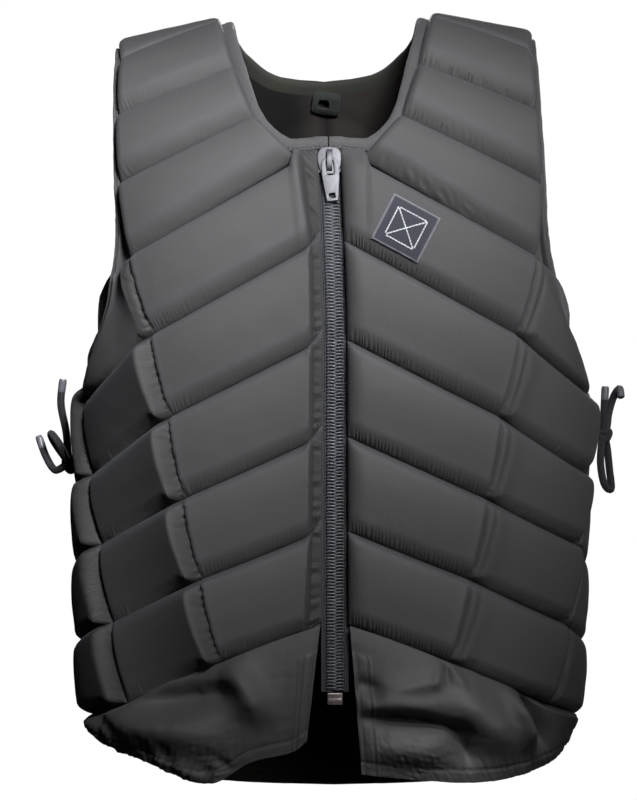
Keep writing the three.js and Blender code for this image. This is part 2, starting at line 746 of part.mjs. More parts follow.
const sides = [
  { name: 'right', side: -1, cut: hemRight },
  { name: 'left', side: 1, cut: hemLeft },
];
for (const { name, side, cut } of sides) {
  add(`lining_front_${name}`, frontLining, liningCloth, side);
  add(`shoulder_${name}`, blocks(crest, { thickness: shoulderFoam, across: 2, down: 5 }), cloth, side);
  for (let k = 0; k < strap.length - 1; k++) {
    const thickness = THREE.MathUtils.lerp(shoulderFoam, foam, k / 3);
    const block = blocks(strap.slice(k, k + 2), { thickness, across: 2, down: 2 });
    add(`yoke_${name}_${k + 1}`, block, cloth, side);
  }
  for (let k = 0; k < chest.length - 1; k++) {
    const bend = k === 0 ? 1 : 0;
    const front = blocks(chest.slice(k, k + 2), { band: placketBand, across: 3, down: bend });
    const beside = blocks(ribs.slice(k, k + 2), { band: k ? hingeBand : 6, across: 2, down: 2 * bend });
    const behind = blocks(rear.slice(k, k + 2), { across: 7, down: 2 + bend });
    add(`chest_${name}_${k + 1}`, front, cloth, side);
    add(`side_${name}_${k + 1}`, beside, cloth, side);
    add(`back_${name}_${k + 1}`, behind, cloth, side);
  }
  add(`flank_${name}`, blocks(flanks, { band: flankBand, across: 3 }), cloth, side);
  add(`arm_binding_${name}`, armTape, tapeCloth, side);
  add(`hem_${name}`, hem(cut, frontEdges, frontSag, 2, 4), cloth, side);
  add(`zip_tape_${name}`, zipHalfTape(), tapeCloth, side);
  add(`lace_${name}`, lacing(laceRuns[name]), cordCloth, side);
}

add('tail', joined(bothSides(hem(tailCut, backEdges, backSag, 3, 4))), cloth, 1);

add('zip_slider', slider().applyMatrix4(frameAt(sliderHeight, 0)), steel, 0);
add('zip_pull', pull().applyMatrix4(frameAt(sliderHeight, pullAxis)), steel, 0);
const box = plate(rounded(11.6, 9, 1.2), 5.4, -2);
add('zip_box', mergeVertices(box).applyMatrix4(frameAt(zipFoot - 5.2, 0)), steel, 0);

// Square patch on the left chest, level with the seams
const badgeSize = 36.5;
const badgeCentre = { x: 53, height: -149 };
const badgeTurn = THREE.MathUtils.degToRad(-29);
const badgeSteps = 4;
const badgeRow = (rise) =>
  Array.from({ length: badgeSteps + 1 }, (_, i) =>
    Array.from({ length: badgeSteps + 1 }, (_, j) => {
      const u = badgeSize * (j / badgeSteps - 0.5);
      const v = badgeSize * (0.5 - i / badgeSteps);
      const x = badgeCentre.x + u * Math.cos(badgeTurn) - v * Math.sin(badgeTurn);
      const height = badgeCentre.height + u * Math.sin(badgeTurn) + v * Math.cos(badgeTurn);
      const p = place(height, undefined, x, false);
      return skin(p.y, p.x, rise);
    }),
  );
add('badge', slab(badgeRow(foam + 2), badgeRow(foam + 0.7)), tapeCloth, 1);

// Loop inside the back neck
const loopHeight = -31;
const loopShape = rounded(25, 22, 6);
loopShape.holes.push(new THREE.Path(rounded(10, 9, 3).getPoints(3)));
const loop = mergeVertices(plate(loopShape, 1.4, 0));
const loopPoints = loop.attributes.position;
for (let i = 0; i < loopPoints.count; i++) {
  const x = loopPoints.getX(i);
  const p = place(loopPoints.getY(i) + loopHeight, undefined, Math.abs(x), true);
  const spot = skin(p.y, p.x, -wall - 0.8 - loopPoints.getZ(i));
  loopPoints.setXYZ(i, Math.sign(x) * spot.x, spot.y, spot.z);
}
add('hang_loop', loop, tapeCloth, 1);

export default vest;
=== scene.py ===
import bpy
import numpy as np
from mathutils import Matrix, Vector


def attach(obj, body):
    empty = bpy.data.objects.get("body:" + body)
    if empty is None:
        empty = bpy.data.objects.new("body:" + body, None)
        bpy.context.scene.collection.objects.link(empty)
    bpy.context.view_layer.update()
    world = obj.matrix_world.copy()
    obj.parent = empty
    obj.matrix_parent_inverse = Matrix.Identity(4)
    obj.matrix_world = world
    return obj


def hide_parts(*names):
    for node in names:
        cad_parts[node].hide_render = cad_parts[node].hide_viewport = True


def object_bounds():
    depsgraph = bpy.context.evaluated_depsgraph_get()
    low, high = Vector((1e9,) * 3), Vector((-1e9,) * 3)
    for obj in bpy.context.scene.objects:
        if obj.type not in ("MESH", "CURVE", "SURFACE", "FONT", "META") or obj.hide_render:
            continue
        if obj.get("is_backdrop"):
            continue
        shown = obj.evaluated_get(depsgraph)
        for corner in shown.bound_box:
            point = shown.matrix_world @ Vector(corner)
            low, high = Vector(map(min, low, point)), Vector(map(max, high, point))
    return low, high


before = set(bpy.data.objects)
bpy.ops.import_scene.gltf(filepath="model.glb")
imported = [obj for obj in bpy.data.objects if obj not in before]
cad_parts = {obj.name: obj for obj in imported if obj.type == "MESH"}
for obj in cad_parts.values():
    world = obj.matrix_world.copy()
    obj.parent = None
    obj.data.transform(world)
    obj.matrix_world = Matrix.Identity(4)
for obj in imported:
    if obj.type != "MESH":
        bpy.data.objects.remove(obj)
cadBox = [list(corner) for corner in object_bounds()]
print("frame loaded", cadBox)

mm = 0.001  # every size below is in millimetres; newPiece turns points into metres
scene = bpy.context.scene


# camera at the photograph's angle, square on to the chest
view = dict(x=-12.4, y=-2320, z=-275, lens=132, sensor=36)


def makeCamera(v):
    data = bpy.data.cameras.new("camera")
    data.sensor_fit = "VERTICAL"
    data.sensor_height = v["sensor"]
    data.lens = v["lens"]
    data.clip_end = 60
    camera = bpy.data.objects.new("camera", data)
    camera.location = (v["x"] * mm, v["y"] * mm, v["z"] * mm)
    camera.rotation_euler = (np.pi / 2, 0, 0)
    scene.collection.objects.link(camera)
    scene.camera = camera


makeCamera(view)


# torso that the vest is filled out on: a row for each section, foot to shoulder crest
body = dict(
    height=np.array([-700, -610, -520, -420, -320, -230, -150, -90, -45, -9, 10.0]),
    halfWidth=np.array([172, 177, 182, 185, 187, 190, 198, 208, 218, 226, 230.0]),
    frontDepth=np.array([98, 103, 107, 110, 113, 114, 106, 91, 67, 38, 0.0]),
    backDepth=np.array([114, 112, 110, 109, 110, 113, 110, 99, 78, 46, 0.0]),
    squareness=2.4,  # superellipse exponent of the sections
    shoulderSlope=0.21,
    strapMiddle=120,
    across=-7,  # the shoulders hang to one side, from the first height to the second
    acrossOver=(-240, 20),
    roll=0.022,  # and one of them higher
    rollOver=(-120, 10),
)


def smoothStep(x, low, high):
    t = np.clip((x - low) / (high - low), 0, 1)
    return t * t * (3 - 2 * t)


# cubic through the points at whole numbers, each tangent half of the step across its point
def catmull(points, at):
    ends = [2 * points[:1] - points[1:2], points, 2 * points[-1:] - points[-2:-1]]
    p = np.concatenate(ends)
    i = np.clip(np.floor(at).astype(int), 0, len(points) - 2)
    w = (at - i)[..., None]
    a, b, c, d = p[i], p[i + 1], p[i + 2], p[i + 3]
    m, n = 0.5 * (c - a), 0.5 * (d - b)
    return (2 * b - 2 * c + m + n) * w**3 + (-3 * b + 3 * c - 2 * m - n) * w**2 + m * w + b


frontSide = np.stack([body["halfWidth"], -body["frontDepth"], body["height"]], 1)
backSide = np.stack([body["halfWidth"], body["backDepth"], body["height"]], 1)
spine = np.concatenate([frontSide, backSide[-2::-1]])


# station runs up the front, over the crest at 0.5 and down the back; girth turns from the
# centre line to the side in degrees, and past 90 it is the other face
def torso(station, girth):
    turned = girth > 90
    s = catmull(spine, np.where(turned, 1 - station, station) * (len(spine) - 1))
    angle = np.radians(np.where(turned, 180 - girth, girth))
    power = 2 / body["squareness"]
    x = s[..., 0] * np.sign(angle) * np.abs(np.sin(angle)) ** power
    y = s[..., 1] * np.maximum(np.cos(angle), 0) ** power
    slope = body["shoulderSlope"] * smoothStep(s[..., 2], -150, -20)
    return np.stack([x, y, s[..., 2] - slope * (np.abs(x) - body["strapMiddle"])], -1)


def unit(v):
    return v / np.maximum(np.linalg.norm(v, axis=-1, keepdims=True), 1e-9)


# outward direction: the cross of a short step round the torso and one up it
girthStep, stationStep = 0.4, 0.002


def normalAt(station, girth):
    across = torso(station, girth + girthStep) - torso(station, girth - girthStep)
    upward = torso(station + stationStep, girth) - torso(station - stationStep, girth)
    return unit(np.cross(across, upward))


# points and outward directions of places (girth, station)
def surfaceAt(spots):
    return torso(spots[..., 1], spots[..., 0])


def outwardAt(spots):
    return normalAt(spots[..., 1], spots[..., 0])


# points that stand off the torso by the rise
def skin(spots, rise):
    return surfaceAt(spots) + outwardAt(spots) * np.asarray(rise, float)[..., None]


# largest value that is still below, by halving
def bisect(low, high, below):
    for _ in range(30):
        middle = (low + high) / 2
        under = below(middle)
        low, high = np.where(under, middle, low), np.where(under, high, middle)
    return low


def stationAt(girth, height):
    girth, height = np.broadcast_arrays(np.asarray(girth, float), np.asarray(height, float))
    zero = np.zeros(girth.shape)
    return bisect(zero, zero + 0.5, lambda s: torso(s, girth)[..., 2] < height)


# places (girth, station) from heights and girth angles
def spotAtAngle(height, angle):
    angle, height = np.broadcast_arrays(np.asarray(angle, float), np.asarray(height, float))
    return np.stack([angle, stationAt(angle, height)], -1)


# places from heights and distances from the centre plane
def spotAtX(height, x, onBack=False):
    x, height = np.broadcast_arrays(np.asarray(x, float), np.asarray(height, float))
    turn = (lambda g: 180 - g) if onBack else (lambda g: g)
    zero = np.zeros(x.shape)
    find = lambda g: torso(stationAt(turn(g), height), turn(g))[..., 0] < x
    return spotAtAngle(height, turn(bisect(zero, zero + 90, find)))


def overCrest(spots):
    return np.stack([180 - spots[..., 0], 1 - spots[..., 1]], -1)


# uneven hang of the upper half, and the mirror image for the wearer's right
def hung(points, side=1):
    p = np.array(points, float)
    p[..., 0] *= side
    x, z = p[..., 0].copy(), p[..., 2].copy()
    p[..., 0] += body["across"] * smoothStep(z, *body["acrossOver"])
    p[..., 2] += body["roll"] * x * smoothStep(z, *body["rollOver"])
    return p


# running length along one axis of a grid of points
def along(points, axis):
    step = np.linalg.norm(np.diff(points, axis=axis), axis=-1)
    start = np.zeros_like(np.take(step, [0], axis=axis))
    return np.concatenate([start, np.cumsum(step, axis=axis)], axis=axis)


# slow irregular wave: four sines of unlike pitch, between about -1 and 1
def wobble(s, pitch, seed=0.0):
    parts = [(0.71, 0.3), (1.0, 0.45), (1.43, 0.35), (2.3, 0.25)]
    return sum(a * np.sin(2 * np.pi * s / (pitch * k) + seed * (1.7 + 3.1 * k)) for k, a in parts)


# quarter round of that radius: nothing at the edge, one past the radius
def roundOff(distance, radius, power=2.2):
    t = np.clip(distance / radius, 0, 1)
    return (1 - (1 - t) ** power) ** (1 / power)


# ridge of Gaussian section
def bump(distance, width):
    return np.exp(-((distance / width) ** 2))


# quads of a grid of points, which may close on itself from column to column
def gridFaces(rows, columns, wrapColumns=False):
    i = np.arange(rows - 1)[:, None]
    j = np.arange(columns if wrapColumns else columns - 1)[None, :]
    at = lambda a, b: a * columns + b % columns
    quads = [at(i, j), at(i + 1, j), at(i + 1, j + 1), at(i, j + 1)]
    return np.stack(np.broadcast_arrays(*quads), -1).reshape(-1, 4)


# six times the volume, negative if the faces look inward
def volumeOf(points, faces):
    total = 0
    for f in faces:
        for k in range(1, f.shape[1] - 1):
            a, b, c = points[f[:, 0]], points[f[:, k]], points[f[:, k + 1]]
            total += np.einsum("ij,ij->", a, np.cross(b, c))
    return total


# closed wall between two grids of the same shape
def slab(outer, inner):
    rows, columns = outer.shape[:2]
    points = np.concatenate([outer.reshape(-1, 3), inner.reshape(-1, 3)])
    top = gridFaces(rows, columns)
    n = rows * columns
    index = np.arange(n).reshape(rows, columns)
    rim = np.concatenate([index[0], index[1:, -1], index[-1, -2::-1], index[-2:0:-1, 0]])
    after = np.roll(rim, -1)
    edge = np.stack([rim, after, after + n, rim + n], 1)
    return points, [top, top[:, ::-1] + n, edge]


# closed tube through rings of points, with flat ends
def loft(rings):
    count, sides = rings.shape[:2]
    ends = [np.arange(sides)[None, ::-1], np.arange(sides)[None] + (count - 1) * sides]
    return rings.reshape(-1, 3), [gridFaces(count, sides, wrapColumns=True), *ends]


# several bodies as one mesh
def joined(bodies):
    points, faces, start = [], [], 0
    for p, f in bodies:
        if volumeOf(p, f) < 0:
            f = [a[:, ::-1] for a in f]
        points.append(p)
        faces += [a + start for a in f]
        start += len(p)
    return np.concatenate(points), faces


# mesh object on its body. A second material goes on the inside faces, which are the second of a
# wall's three face lists unless they are given
def newPiece(name, shape, material, slot, uv=None, marks=None, rides="vest", sharp=50,
             inside=None, insideFaces=None):
    points, faces = shape
    if insideFaces is None:
        insideFaces = np.concatenate([np.full(len(f), k % 3 == 1) for k, f in enumerate(faces)])
    if volumeOf(points, faces) < 0:
        faces = [f[:, ::-1] for f in faces]
    mesh = bpy.data.meshes.new(name)
    loops = np.concatenate([f.reshape(-1) for f in faces])
    sizes = np.concatenate([np.full(len(f), f.shape[1]) for f in faces])
    mesh.vertices.add(len(points))
    mesh.vertices.foreach_set("co", (points * mm).astype(np.float32).ravel())
    mesh.loops.add(len(loops))
    mesh.loops.foreach_set("vertex_index", loops.astype(np.int32))
    mesh.polygons.add(len(sizes))
    starts = np.concatenate([[0], np.cumsum(sizes)[:-1]])
    mesh.polygons.foreach_set("loop_start", starts.astype(np.int32))
    mesh.update(calc_edges=True)
    mesh.shade_smooth()
    mesh.set_sharp_from_angle(angle=np.radians(sharp))
    if uv is not None:
        layer = mesh.uv_layers.new(name="UVMap")
        layer.data.foreach_set("uv", (uv[loops] * mm).astype(np.float32).ravel())
    for key, values in (marks or {}).items():
        attribute = mesh.attributes.new(key, "FLOAT", "POINT")
        attribute.data.foreach_set("value", values.astype(np.float32).ravel())
    mesh.materials.append(material)
    if inside:
        mesh.materials.append(inside)
        mesh.polygons.foreach_set("material_index", insideFaces.astype(np.int32))
    piece = bpy.data.objects.new(name, mesh)
    scene.collection.objects.link(piece)
    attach(piece, rides)
    return piece


# cloth wall between two grids. Both faces share the map, and only the outer one has marks
def wallPiece(name, outer, inner, material, slot, uv, marks=None, **more):
    uv = np.concatenate([uv.reshape(-1, 2)] * 2)
    doubled = {key: np.concatenate([m.ravel(), 0 * m.ravel()]) for key, m in (marks or {}).items()}
    return newPiece(name, slab(outer, inner), material, slot, uv, doubled, **more)


# shader node groups that several finishes share
def group(name, inputs, outputs):
    tree = bpy.data.node_groups.new(name, "ShaderNodeTree")
    for label, value in inputs.items():
        socket = tree.interface.new_socket(label, in_out="INPUT", socket_type="NodeSocketFloat")
        socket.default_value = value
    for label in outputs:
        tree.interface.new_socket(label, in_out="OUTPUT", socket_type="NodeSocketFloat")
    return tree, tree.nodes.new("NodeGroupInput"), tree.nodes.new("NodeGroupOutput")


# one sum of values or sockets; MULTIPLY_ADD adds the node's own default of a half
def calc(tree, kind, a, b=None, clamp=False):
    node = tree.nodes.new("ShaderNodeMath")
    node.operation = kind
    node.use_clamp = clamp
    for socket, value in zip(node.inputs, (a, b)):
        if isinstance(value, (int, float)):
            socket.default_value = value
        elif value is not None:
            tree.links.new(value, socket)
    return node.outputs[0]


def noise(tree, vector, scale, detail=3.0, roughness=0.55):
    node = tree.nodes.new("ShaderNodeTexNoise")
    node.inputs["Detail"].default_value = detail
    node.inputs["Roughness"].default_value = roughness
    tree.links.new(vector, node.inputs["Vector"])
    if isinstance(scale, (int, float)):
        node.inputs["Scale"].default_value = scale
    else:
        tree.links.new(scale, node.inputs["Scale"])
    return node.outputs["Fac"]


# woven threads on the piece's own map: warp and weft as crossed sines, with a twill slant mixed in
def weaveGroup():
    tree, given, out = group("wovenThreads", dict(Pitch=0.6, Twill=0.4), ["Height", "Fleck"])
    uv = tree.nodes.new("ShaderNodeUVMap")
    uv.uv_map = "UVMap"
    split = tree.nodes.new("ShaderNodeSeparateXYZ")
    tree.links.new(uv.outputs["UV"], split.inputs[0])
    turns = calc(tree, "DIVIDE", 2 * np.pi / mm, given.outputs["Pitch"])
    warp = calc(tree, "MULTIPLY", split.outputs[0], turns)
    weft = calc(tree, "MULTIPLY", split.outputs[1], turns)
    plain = calc(tree, "MULTIPLY", calc(tree, "SINE", warp), calc(tree, "SINE", weft))
    slant = calc(tree, "SINE", calc(tree, "ADD", warp, calc(tree, "MULTIPLY", weft, 0.5)))
    twill = calc(tree, "MULTIPLY", slant, given.outputs["Twill"])
    height = calc(tree, "ADD", calc(tree, "MULTIPLY", calc(tree, "ADD", plain, twill), 0.35), 0.5)
    tree.links.new(height, out.inputs["Height"])
    tree.links.new(noise(tree, uv.outputs["UV"], 900.0, 2.0), out.inputs["Fleck"])
    return tree


# broad unevenness of dyed cloth, and small creases, in the piece's own space
def creaseGroup():
    tree, given, out = group("dyeAndCreases", dict(Patch=9.0, Crease=70.0), ["Tone", "Height"])
    place = tree.nodes.new("ShaderNodeTexCoord").outputs["Object"]
    tree.links.new(noise(tree, place, given.outputs["Patch"], 2.0), out.inputs["Tone"])
    tree.links.new(noise(tree, place, given.outputs["Crease"], 3.0, 0.5), out.inputs["Height"])
    return tree


# rubbed edges: the piece's own rim mark, broken up by noise
def wearGroup():
    tree, given, out = group("rubbedEdges", dict(Amount=0.5, Scale=160.0), ["Wear"])
    mark = tree.nodes.new("ShaderNodeAttribute")
    mark.attribute_name = "rim"
    place = tree.nodes.new("ShaderNodeTexCoord").outputs["Object"]
    broken = calc(tree, "MULTIPLY_ADD", noise(tree, place, given.outputs["Scale"], 4.0), 1.4)
    rubbed = calc(tree, "MULTIPLY", mark.outputs["Fac"], broken)
    tree.links.new(calc(tree, "MULTIPLY", rubbed, given.outputs["Amount"], True), out.inputs["Wear"])
    return tree


# painted shade: the piece's own shade mark sets how far its colour is darkened where shade falls
def paintedShadeGroup():
    tree, given, out = group("paintedShadeNodes", dict(Amount=0.5), ["Shade"])
    mark = tree.nodes.new("ShaderNodeAttribute")
    mark.attribute_name = "shade"
    deep = calc(tree, "MULTIPLY", mark.outputs["Fac"], given.outputs["Amount"], True)
    tree.links.new(deep, out.inputs["Shade"])
    return tree


groups = dict(weave=weaveGroup(), crease=creaseGroup(), wear=wearGroup(), shade=paintedShadeGroup())


def newMaterial(name):
    material = bpy.data.materials.new(name)
    material.use_nodes = True
    tree = material.node_tree
    return material, tree, tree.nodes["Principled BSDF"]


def place(tree, kind, **values):
    node = tree.nodes.new("ShaderNodeGroup")
    node.node_tree = groups[kind]
    for label, value in values.items():
        node.inputs[label].default_value = value
    return node


def blendColours(tree, factor, a, b):
    node = tree.nodes.new("ShaderNodeMix")
    node.data_type = "RGBA"
    tree.links.new(factor, node.inputs["Factor"])
    for socket, value in ((node.inputs[6], a), (node.inputs[7], b)):
        if isinstance(value, tuple):
            socket.default_value = (*value, 1)
        else:
            tree.links.new(value, socket)
    return node.outputs[2]


# cloth: dyed colour between two tones, worn edges, thread and crease relief
def clothFinish(name, c):
    material, tree, shader = newMaterial(name)
    threads = place(tree, "weave", Pitch=c["pitch"], Twill=c["twill"])
    creases = place(tree, "crease", Patch=c["patch"], Crease=c["crease"])
    worn = place(tree, "wear", Amount=c["wear"])
    tone = calc(tree, "MULTIPLY_ADD", creases.outputs["Tone"], 0.75)
    tone = calc(tree, "ADD", tone, calc(tree, "MULTIPLY", threads.outputs["Fleck"], 0.25), True)
    colour = blendColours(tree, tone, c["dark"], c["light"])
    colour = blendColours(tree, worn.outputs["Wear"], colour, c["rubbed"])
    # painted shade: the shade mark mixes the colour toward a near-black tone
    colour = blendColours(tree, place(tree, "shade", Amount=c["shade"]).outputs["Shade"], colour, c["paintedShade"])
    tree.links.new(colour, shader.inputs["Base Color"])
    rough = calc(tree, "ADD", calc(tree, "MULTIPLY", creases.outputs["Tone"], 0.12), c["rough"])
    tree.links.new(rough, shader.inputs["Roughness"])
    relief = tree.nodes.new("ShaderNodeBump")
    relief.inputs["Distance"].default_value = c["threadDepth"] * mm
    tree.links.new(threads.outputs["Height"], relief.inputs["Height"])
    folds = tree.nodes.new("ShaderNodeBump")
    folds.inputs["Distance"].default_value = c["creaseDepth"] * mm
    tree.links.new(creases.outputs["Height"], folds.inputs["Height"])
    tree.links.new(relief.outputs["Normal"], folds.inputs["Normal"])
    tree.links.new(folds.outputs["Normal"], shader.inputs["Normal"])
    shader.inputs["Specular IOR Level"].default_value = c["gloss"]
    shader.inputs["Sheen Weight"].default_value = c["sheen"]
    shader.inputs["Sheen Roughness"].default_value = 0.45
    shader.inputs["Sheen Tint"].default_value = (*c["sheenTint"], 1)
    return material


# metal: cast tone with fine grain and scratches
def metalFinish(name, c):
    material, tree, shader = newMaterial(name)
    creases = place(tree, "crease", Patch=c["patch"], Crease=c["grain"])
    colour = blendColours(tree, creases.outputs["Tone"], c["dark"], c["light"])
    tree.links.new(colour, shader.inputs["Base Color"])
    rough = calc(tree, "ADD", calc(tree, "MULTIPLY", creases.outputs["Height"], 0.25), c["rough"])
    tree.links.new(rough, shader.inputs["Roughness"])
    shader.inputs["Metallic"].default_value = c["metallic"]
    relief = tree.nodes.new("ShaderNodeBump")
    relief.inputs["Distance"].default_value = c["grainDepth"] * mm
    tree.links.new(creases.outputs["Height"], relief.inputs["Height"])
    tree.links.new(relief.outputs["Normal"], shader.inputs["Normal"])
    return material


# the darkest tone and the shade amount below are for painted shade
shellCloth = dict(
    dark=(0.039, 0.038, 0.038), light=(0.058, 0.057, 0.058), rubbed=(0.10, 0.10, 0.11),
    paintedShade=(0.008, 0.008, 0.008), pitch=1.25, twill=0.6, patch=11.0, crease=55.0,
    threadDepth=0.16, creaseDepth=0.4,
    rough=0.55, gloss=0.26, sheen=0.05, sheenTint=(0.76, 0.8, 0.92), wear=0.25, shade=0.55,
)
finishes = dict(
    shell=clothFinish("shellNylon", shellCloth),
    hem=clothFinish("hemNylon", dict(shellCloth, creaseDepth=0.9, crease=75.0, rough=0.5)),
    lining=clothFinish("liningKnit", dict(
        shellCloth, dark=(0.009, 0.008, 0.007), light=(0.026, 0.021, 0.019), rubbed=(0.04, 0.036, 0.03),
        # near black and at full strength for the lining's painted shade
        paintedShade=(0.001, 0.001, 0.001), shade=1.0,
        pitch=1.5, twill=0.2, threadDepth=0.25, rough=0.8, gloss=0.25, sheen=0.1, wear=0.1)),
    # also laid on the tape behind the neck as painted shade
    hemLiningAndNeckShade=clothFinish("hemLiningAndNeckShade", dict(
        shellCloth, dark=(0.022, 0.022, 0.018), light=(0.034, 0.034, 0.028), rubbed=(0.04, 0.04, 0.04),
        rough=0.75, gloss=0.2, sheen=0.1, wear=0)),
    tape=clothFinish("bindingTape", dict(
        shellCloth, dark=(0.034, 0.034, 0.034), light=(0.062, 0.061, 0.062), pitch=2.2, twill=0.3,
        threadDepth=0.3, crease=160.0, creaseDepth=0.5, rough=0.66, gloss=0.3, sheen=0.1, wear=0.35)),
    zipTape=clothFinish("zipTape", dict(
        shellCloth, dark=(0.018, 0.019, 0.022), light=(0.034, 0.035, 0.04), pitch=1.3, twill=1.0,
        threadDepth=0.25, rough=0.65, wear=0.1)),
    lace=clothFinish("laceBraid", dict(
        shellCloth, dark=(0.012, 0.012, 0.014), light=(0.03, 0.03, 0.034), pitch=1.9, twill=0.9,
        threadDepth=0.5, rough=0.7, wear=0.2)),
    patch=clothFinish("patchWeave", dict(
        shellCloth, dark=(0.020, 0.021, 0.028), light=(0.036, 0.038, 0.05), pitch=0.8, twill=0.7,
        threadDepth=0.2, rough=0.6, wear=0.65, rubbed=(0.2, 0.2, 0.22))),
    loop=clothFinish("loopWebbing", dict(
        shellCloth, dark=(0.011, 0.013, 0.012), light=(0.024, 0.028, 0.025), pitch=1.2, twill=0.8,
        threadDepth=0.3, rough=0.75, wear=0.2)),
    thread=clothFinish("sewingThread", dict(
        shellCloth, dark=(0.03, 0.03, 0.033), light=(0.06, 0.06, 0.066), pitch=0.5, rough=0.55, wear=0)),
    paleThread=clothFinish("paleThread", dict(
        shellCloth, dark=(0.45, 0.45, 0.47), light=(0.62, 0.62, 0.65), pitch=0.5, rough=0.6, wear=0)),
    coil=metalFinish("zipCoil", dict(
        dark=(0.07, 0.074, 0.084), light=(0.13, 0.136, 0.15), patch=60.0, grain=900.0, rough=0.28,
        metallic=0.0, grainDepth=0.02)),
    steel=metalFinish("castZinc", dict(
        dark=(0.09, 0.09, 0.097), light=(0.16, 0.16, 0.172), patch=220.0, grain=1500.0, rough=0.46,
        metallic=0.8, grainDepth=0.03)),
    box=metalFinish("boxMetal", dict(
        dark=(0.22, 0.19, 0.18), light=(0.46, 0.41, 0.38), patch=260.0, grain=1200.0, rough=0.25,
        metallic=0.9, grainDepth=0.03)),
    aglet=metalFinish("agletPlastic", dict(
        dark=(0.08, 0.085, 0.095), light=(0.15, 0.155, 0.17), patch=90.0, grain=700.0, rough=0.3,
        metallic=0.0, grainDepth=0.02)),
)
print("finishes", len(finishes))


# seams of the blocks: inner and outer places, listed from the top down
frontEdge = 11
strapSeams = dict(
    innerX=[84, 75, 62, 34], innerHeight=[12, -25, -65, -98],
    outerX=[155, 156, 155, 148], outerHeight=[-13, -57, -109, -165],
)
chestSeams = dict(
    innerHeight=[-89, -157, -231, -303, -374, -444],
    outerX=[148, 133, 120, 110, 98, 84], outerHeight=[-165, -225, -287, -349, -410, -472],
    flankAngle=[53, 86, 79, 71, 64, 57], flankHeight=[-177, -274, -333, -387, -447, -507],
    edgeAngle=93, edgeHeight=[-262, -352, -412, -470, -525],
)
backSeams = dict(
    innerX=4, innerHeight=[-34, -125, -215, -305, -395, -485],
    outerAngle=[139, 131, 112, 112, 112, 112], outerHeight=[-36, -150, -290, -365, -440, -520],
)
crestFoot = dict(innerX=81, innerHeight=-22, outerX=155, outerHeight=-30)

strap = np.stack([
    spotAtX(strapSeams["innerHeight"], strapSeams["innerX"]),
    spotAtX(strapSeams["outerHeight"], strapSeams["outerX"]),
], 1)
chest = np.stack([
    spotAtX(chestSeams["innerHeight"], frontEdge),
    spotAtX(chestSeams["outerHeight"], chestSeams["outerX"]),
], 1)
ribs = np.stack([
    chest[:, 1],
    spotAtAngle(chestSeams["flankHeight"], chestSeams["flankAngle"]),
], 1)
flanks = np.stack([
    ribs[1:, 1],
    spotAtAngle(chestSeams["edgeHeight"], chestSeams["edgeAngle"]),
], 1)
rear = np.stack([
    spotAtAngle(backSeams["outerHeight"], backSeams["outerAngle"]),
    spotAtX(backSeams["innerHeight"], backSeams["innerX"], True),
], 1)
crest = np.stack([strap[0], np.stack([
    overCrest(spotAtX(crestFoot["innerHeight"], crestFoot["innerX"], True)),
    overCrest(spotAtX(crestFoot["outerHeight"], crestFoot["outerX"], True)),
])])


# foam blocks, by column: how thick, how each edge is rounded, how much of the height is left at
# an end, and how far the middle sinks where flat foam spans a curved body
padBase = dict(
    thickness=15, seam=3.2, crown=5.0, sag=0.0, tilt=0.0, bulge=0, lip=0, hollow=0, corner=0, band=0,
    top=9, bottom=12, soft=1.7, inset=0.25, inner=9, outer=8, innerFoot=0.0, outerFoot=0.0,
    straight=0, straightFrom=1, strip=0, stripFoot=0.62, lean=1, dim=1, paintedShade=1, columns=64, rows=28,
)
chestPad = dict(
    padBase, seam=3.6, sag=1, band=1, top=7, bottom=15, inner=17, outer=4, innerFoot=0.1, outerFoot=0.8,
    straight=1, columns=130, rows=40)
sidePad = dict(
    padBase, sag=5, tilt=1, outer=9, straight=0.8, strip=11, stripFoot=0.8, columns=80, rows=40)
yokePad = dict(
    padBase, thickness=13, lip=1, top=7, bottom=16, inner=8, innerFoot=0.15, outerFoot=0.2,
    straight=1, columns=84, rows=36)
pads = dict(
    chest=chestPad,
    neckChest=dict(chestPad, corner=24),
    side=sidePad,
    armSide=dict(sidePad, sag=4, tilt=-1, hollow=8, outer=30, outerFoot=0.12, lean=0, dim=0),
    topYoke=dict(yokePad, straightFrom=0),
    yoke=yokePad,
    shoulder=dict(
        padBase, thickness=10, seam=4.5, crown=2.5, lip=1, bottom=9, innerFoot=0.15, outerFoot=0.3, rows=40),
    back=padBase,
    # the flank's large weights give it the most painted shade on the wearer's right
    flank=dict(
        padBase, thickness=14, crown=3, bulge=1, bottom=9, strip=7, stripFoot=0.35, dim=3.2, paintedShade=1.7,
        columns=34),
)
# how the cover lies on each side: puckers, notches and folds, the lean of the side blocks and their painted
# shade
sideLook = dict(
    right=dict(
        side=-1, seed=4.0, gather=0.3, zipPucker=1.7, notch=3.6, stripFold=1.3, hook=9, band=1,
        tilt=7, sag=4, ridge=0, paintedShade=0.7, dim=0.46, bulge=5),
    left=dict(
        side=1, seed=1.0, gather=0.8, zipPucker=0.12, notch=1.6, stripFold=0.5, hook=0, band=0,
        tilt=-5, sag=-3, ridge=0.5, paintedShade=0.1, dim=0, bulge=-1),
)
shapes = dict(
    zipReach=17, neckReach=26, bandWidth=12, bandHeight=0.42, bandRamp=5, crownPeak=0.68, stripRoll=0.55,
    ridgeSpread=30, lipRadius=1.8, lipMore=1.2, lowest=1.3, under=0.9)
# small forms of the cover: pitch along a lane, the lane's slant, and how far from an edge they reach
cover = dict(
    puckerPitch=9, puckerSlant=0.9, puckerAt=8, puckerWidth=7, notchPitch=6.2, notchWidth=2.6,
    endNotch=0.45, endNotchWidth=2.0, foldPitch=7, foldSlant=0.8, gatherPitch=3.1, gatherAt=4, gatherWidth=5,
    rolled=0.3, rolledReach=16, rolledPitch=13, uneven=0.3, unevenPitches=(61, 83))


# strip's width down a block: it narrows downward and is pinched at both grooves
def stripWidth(v, r):
    return r["strip"] * (1.15 - 0.4 * v) * (0.75 + 0.25 * np.sin(np.pi * v) ** 0.5)


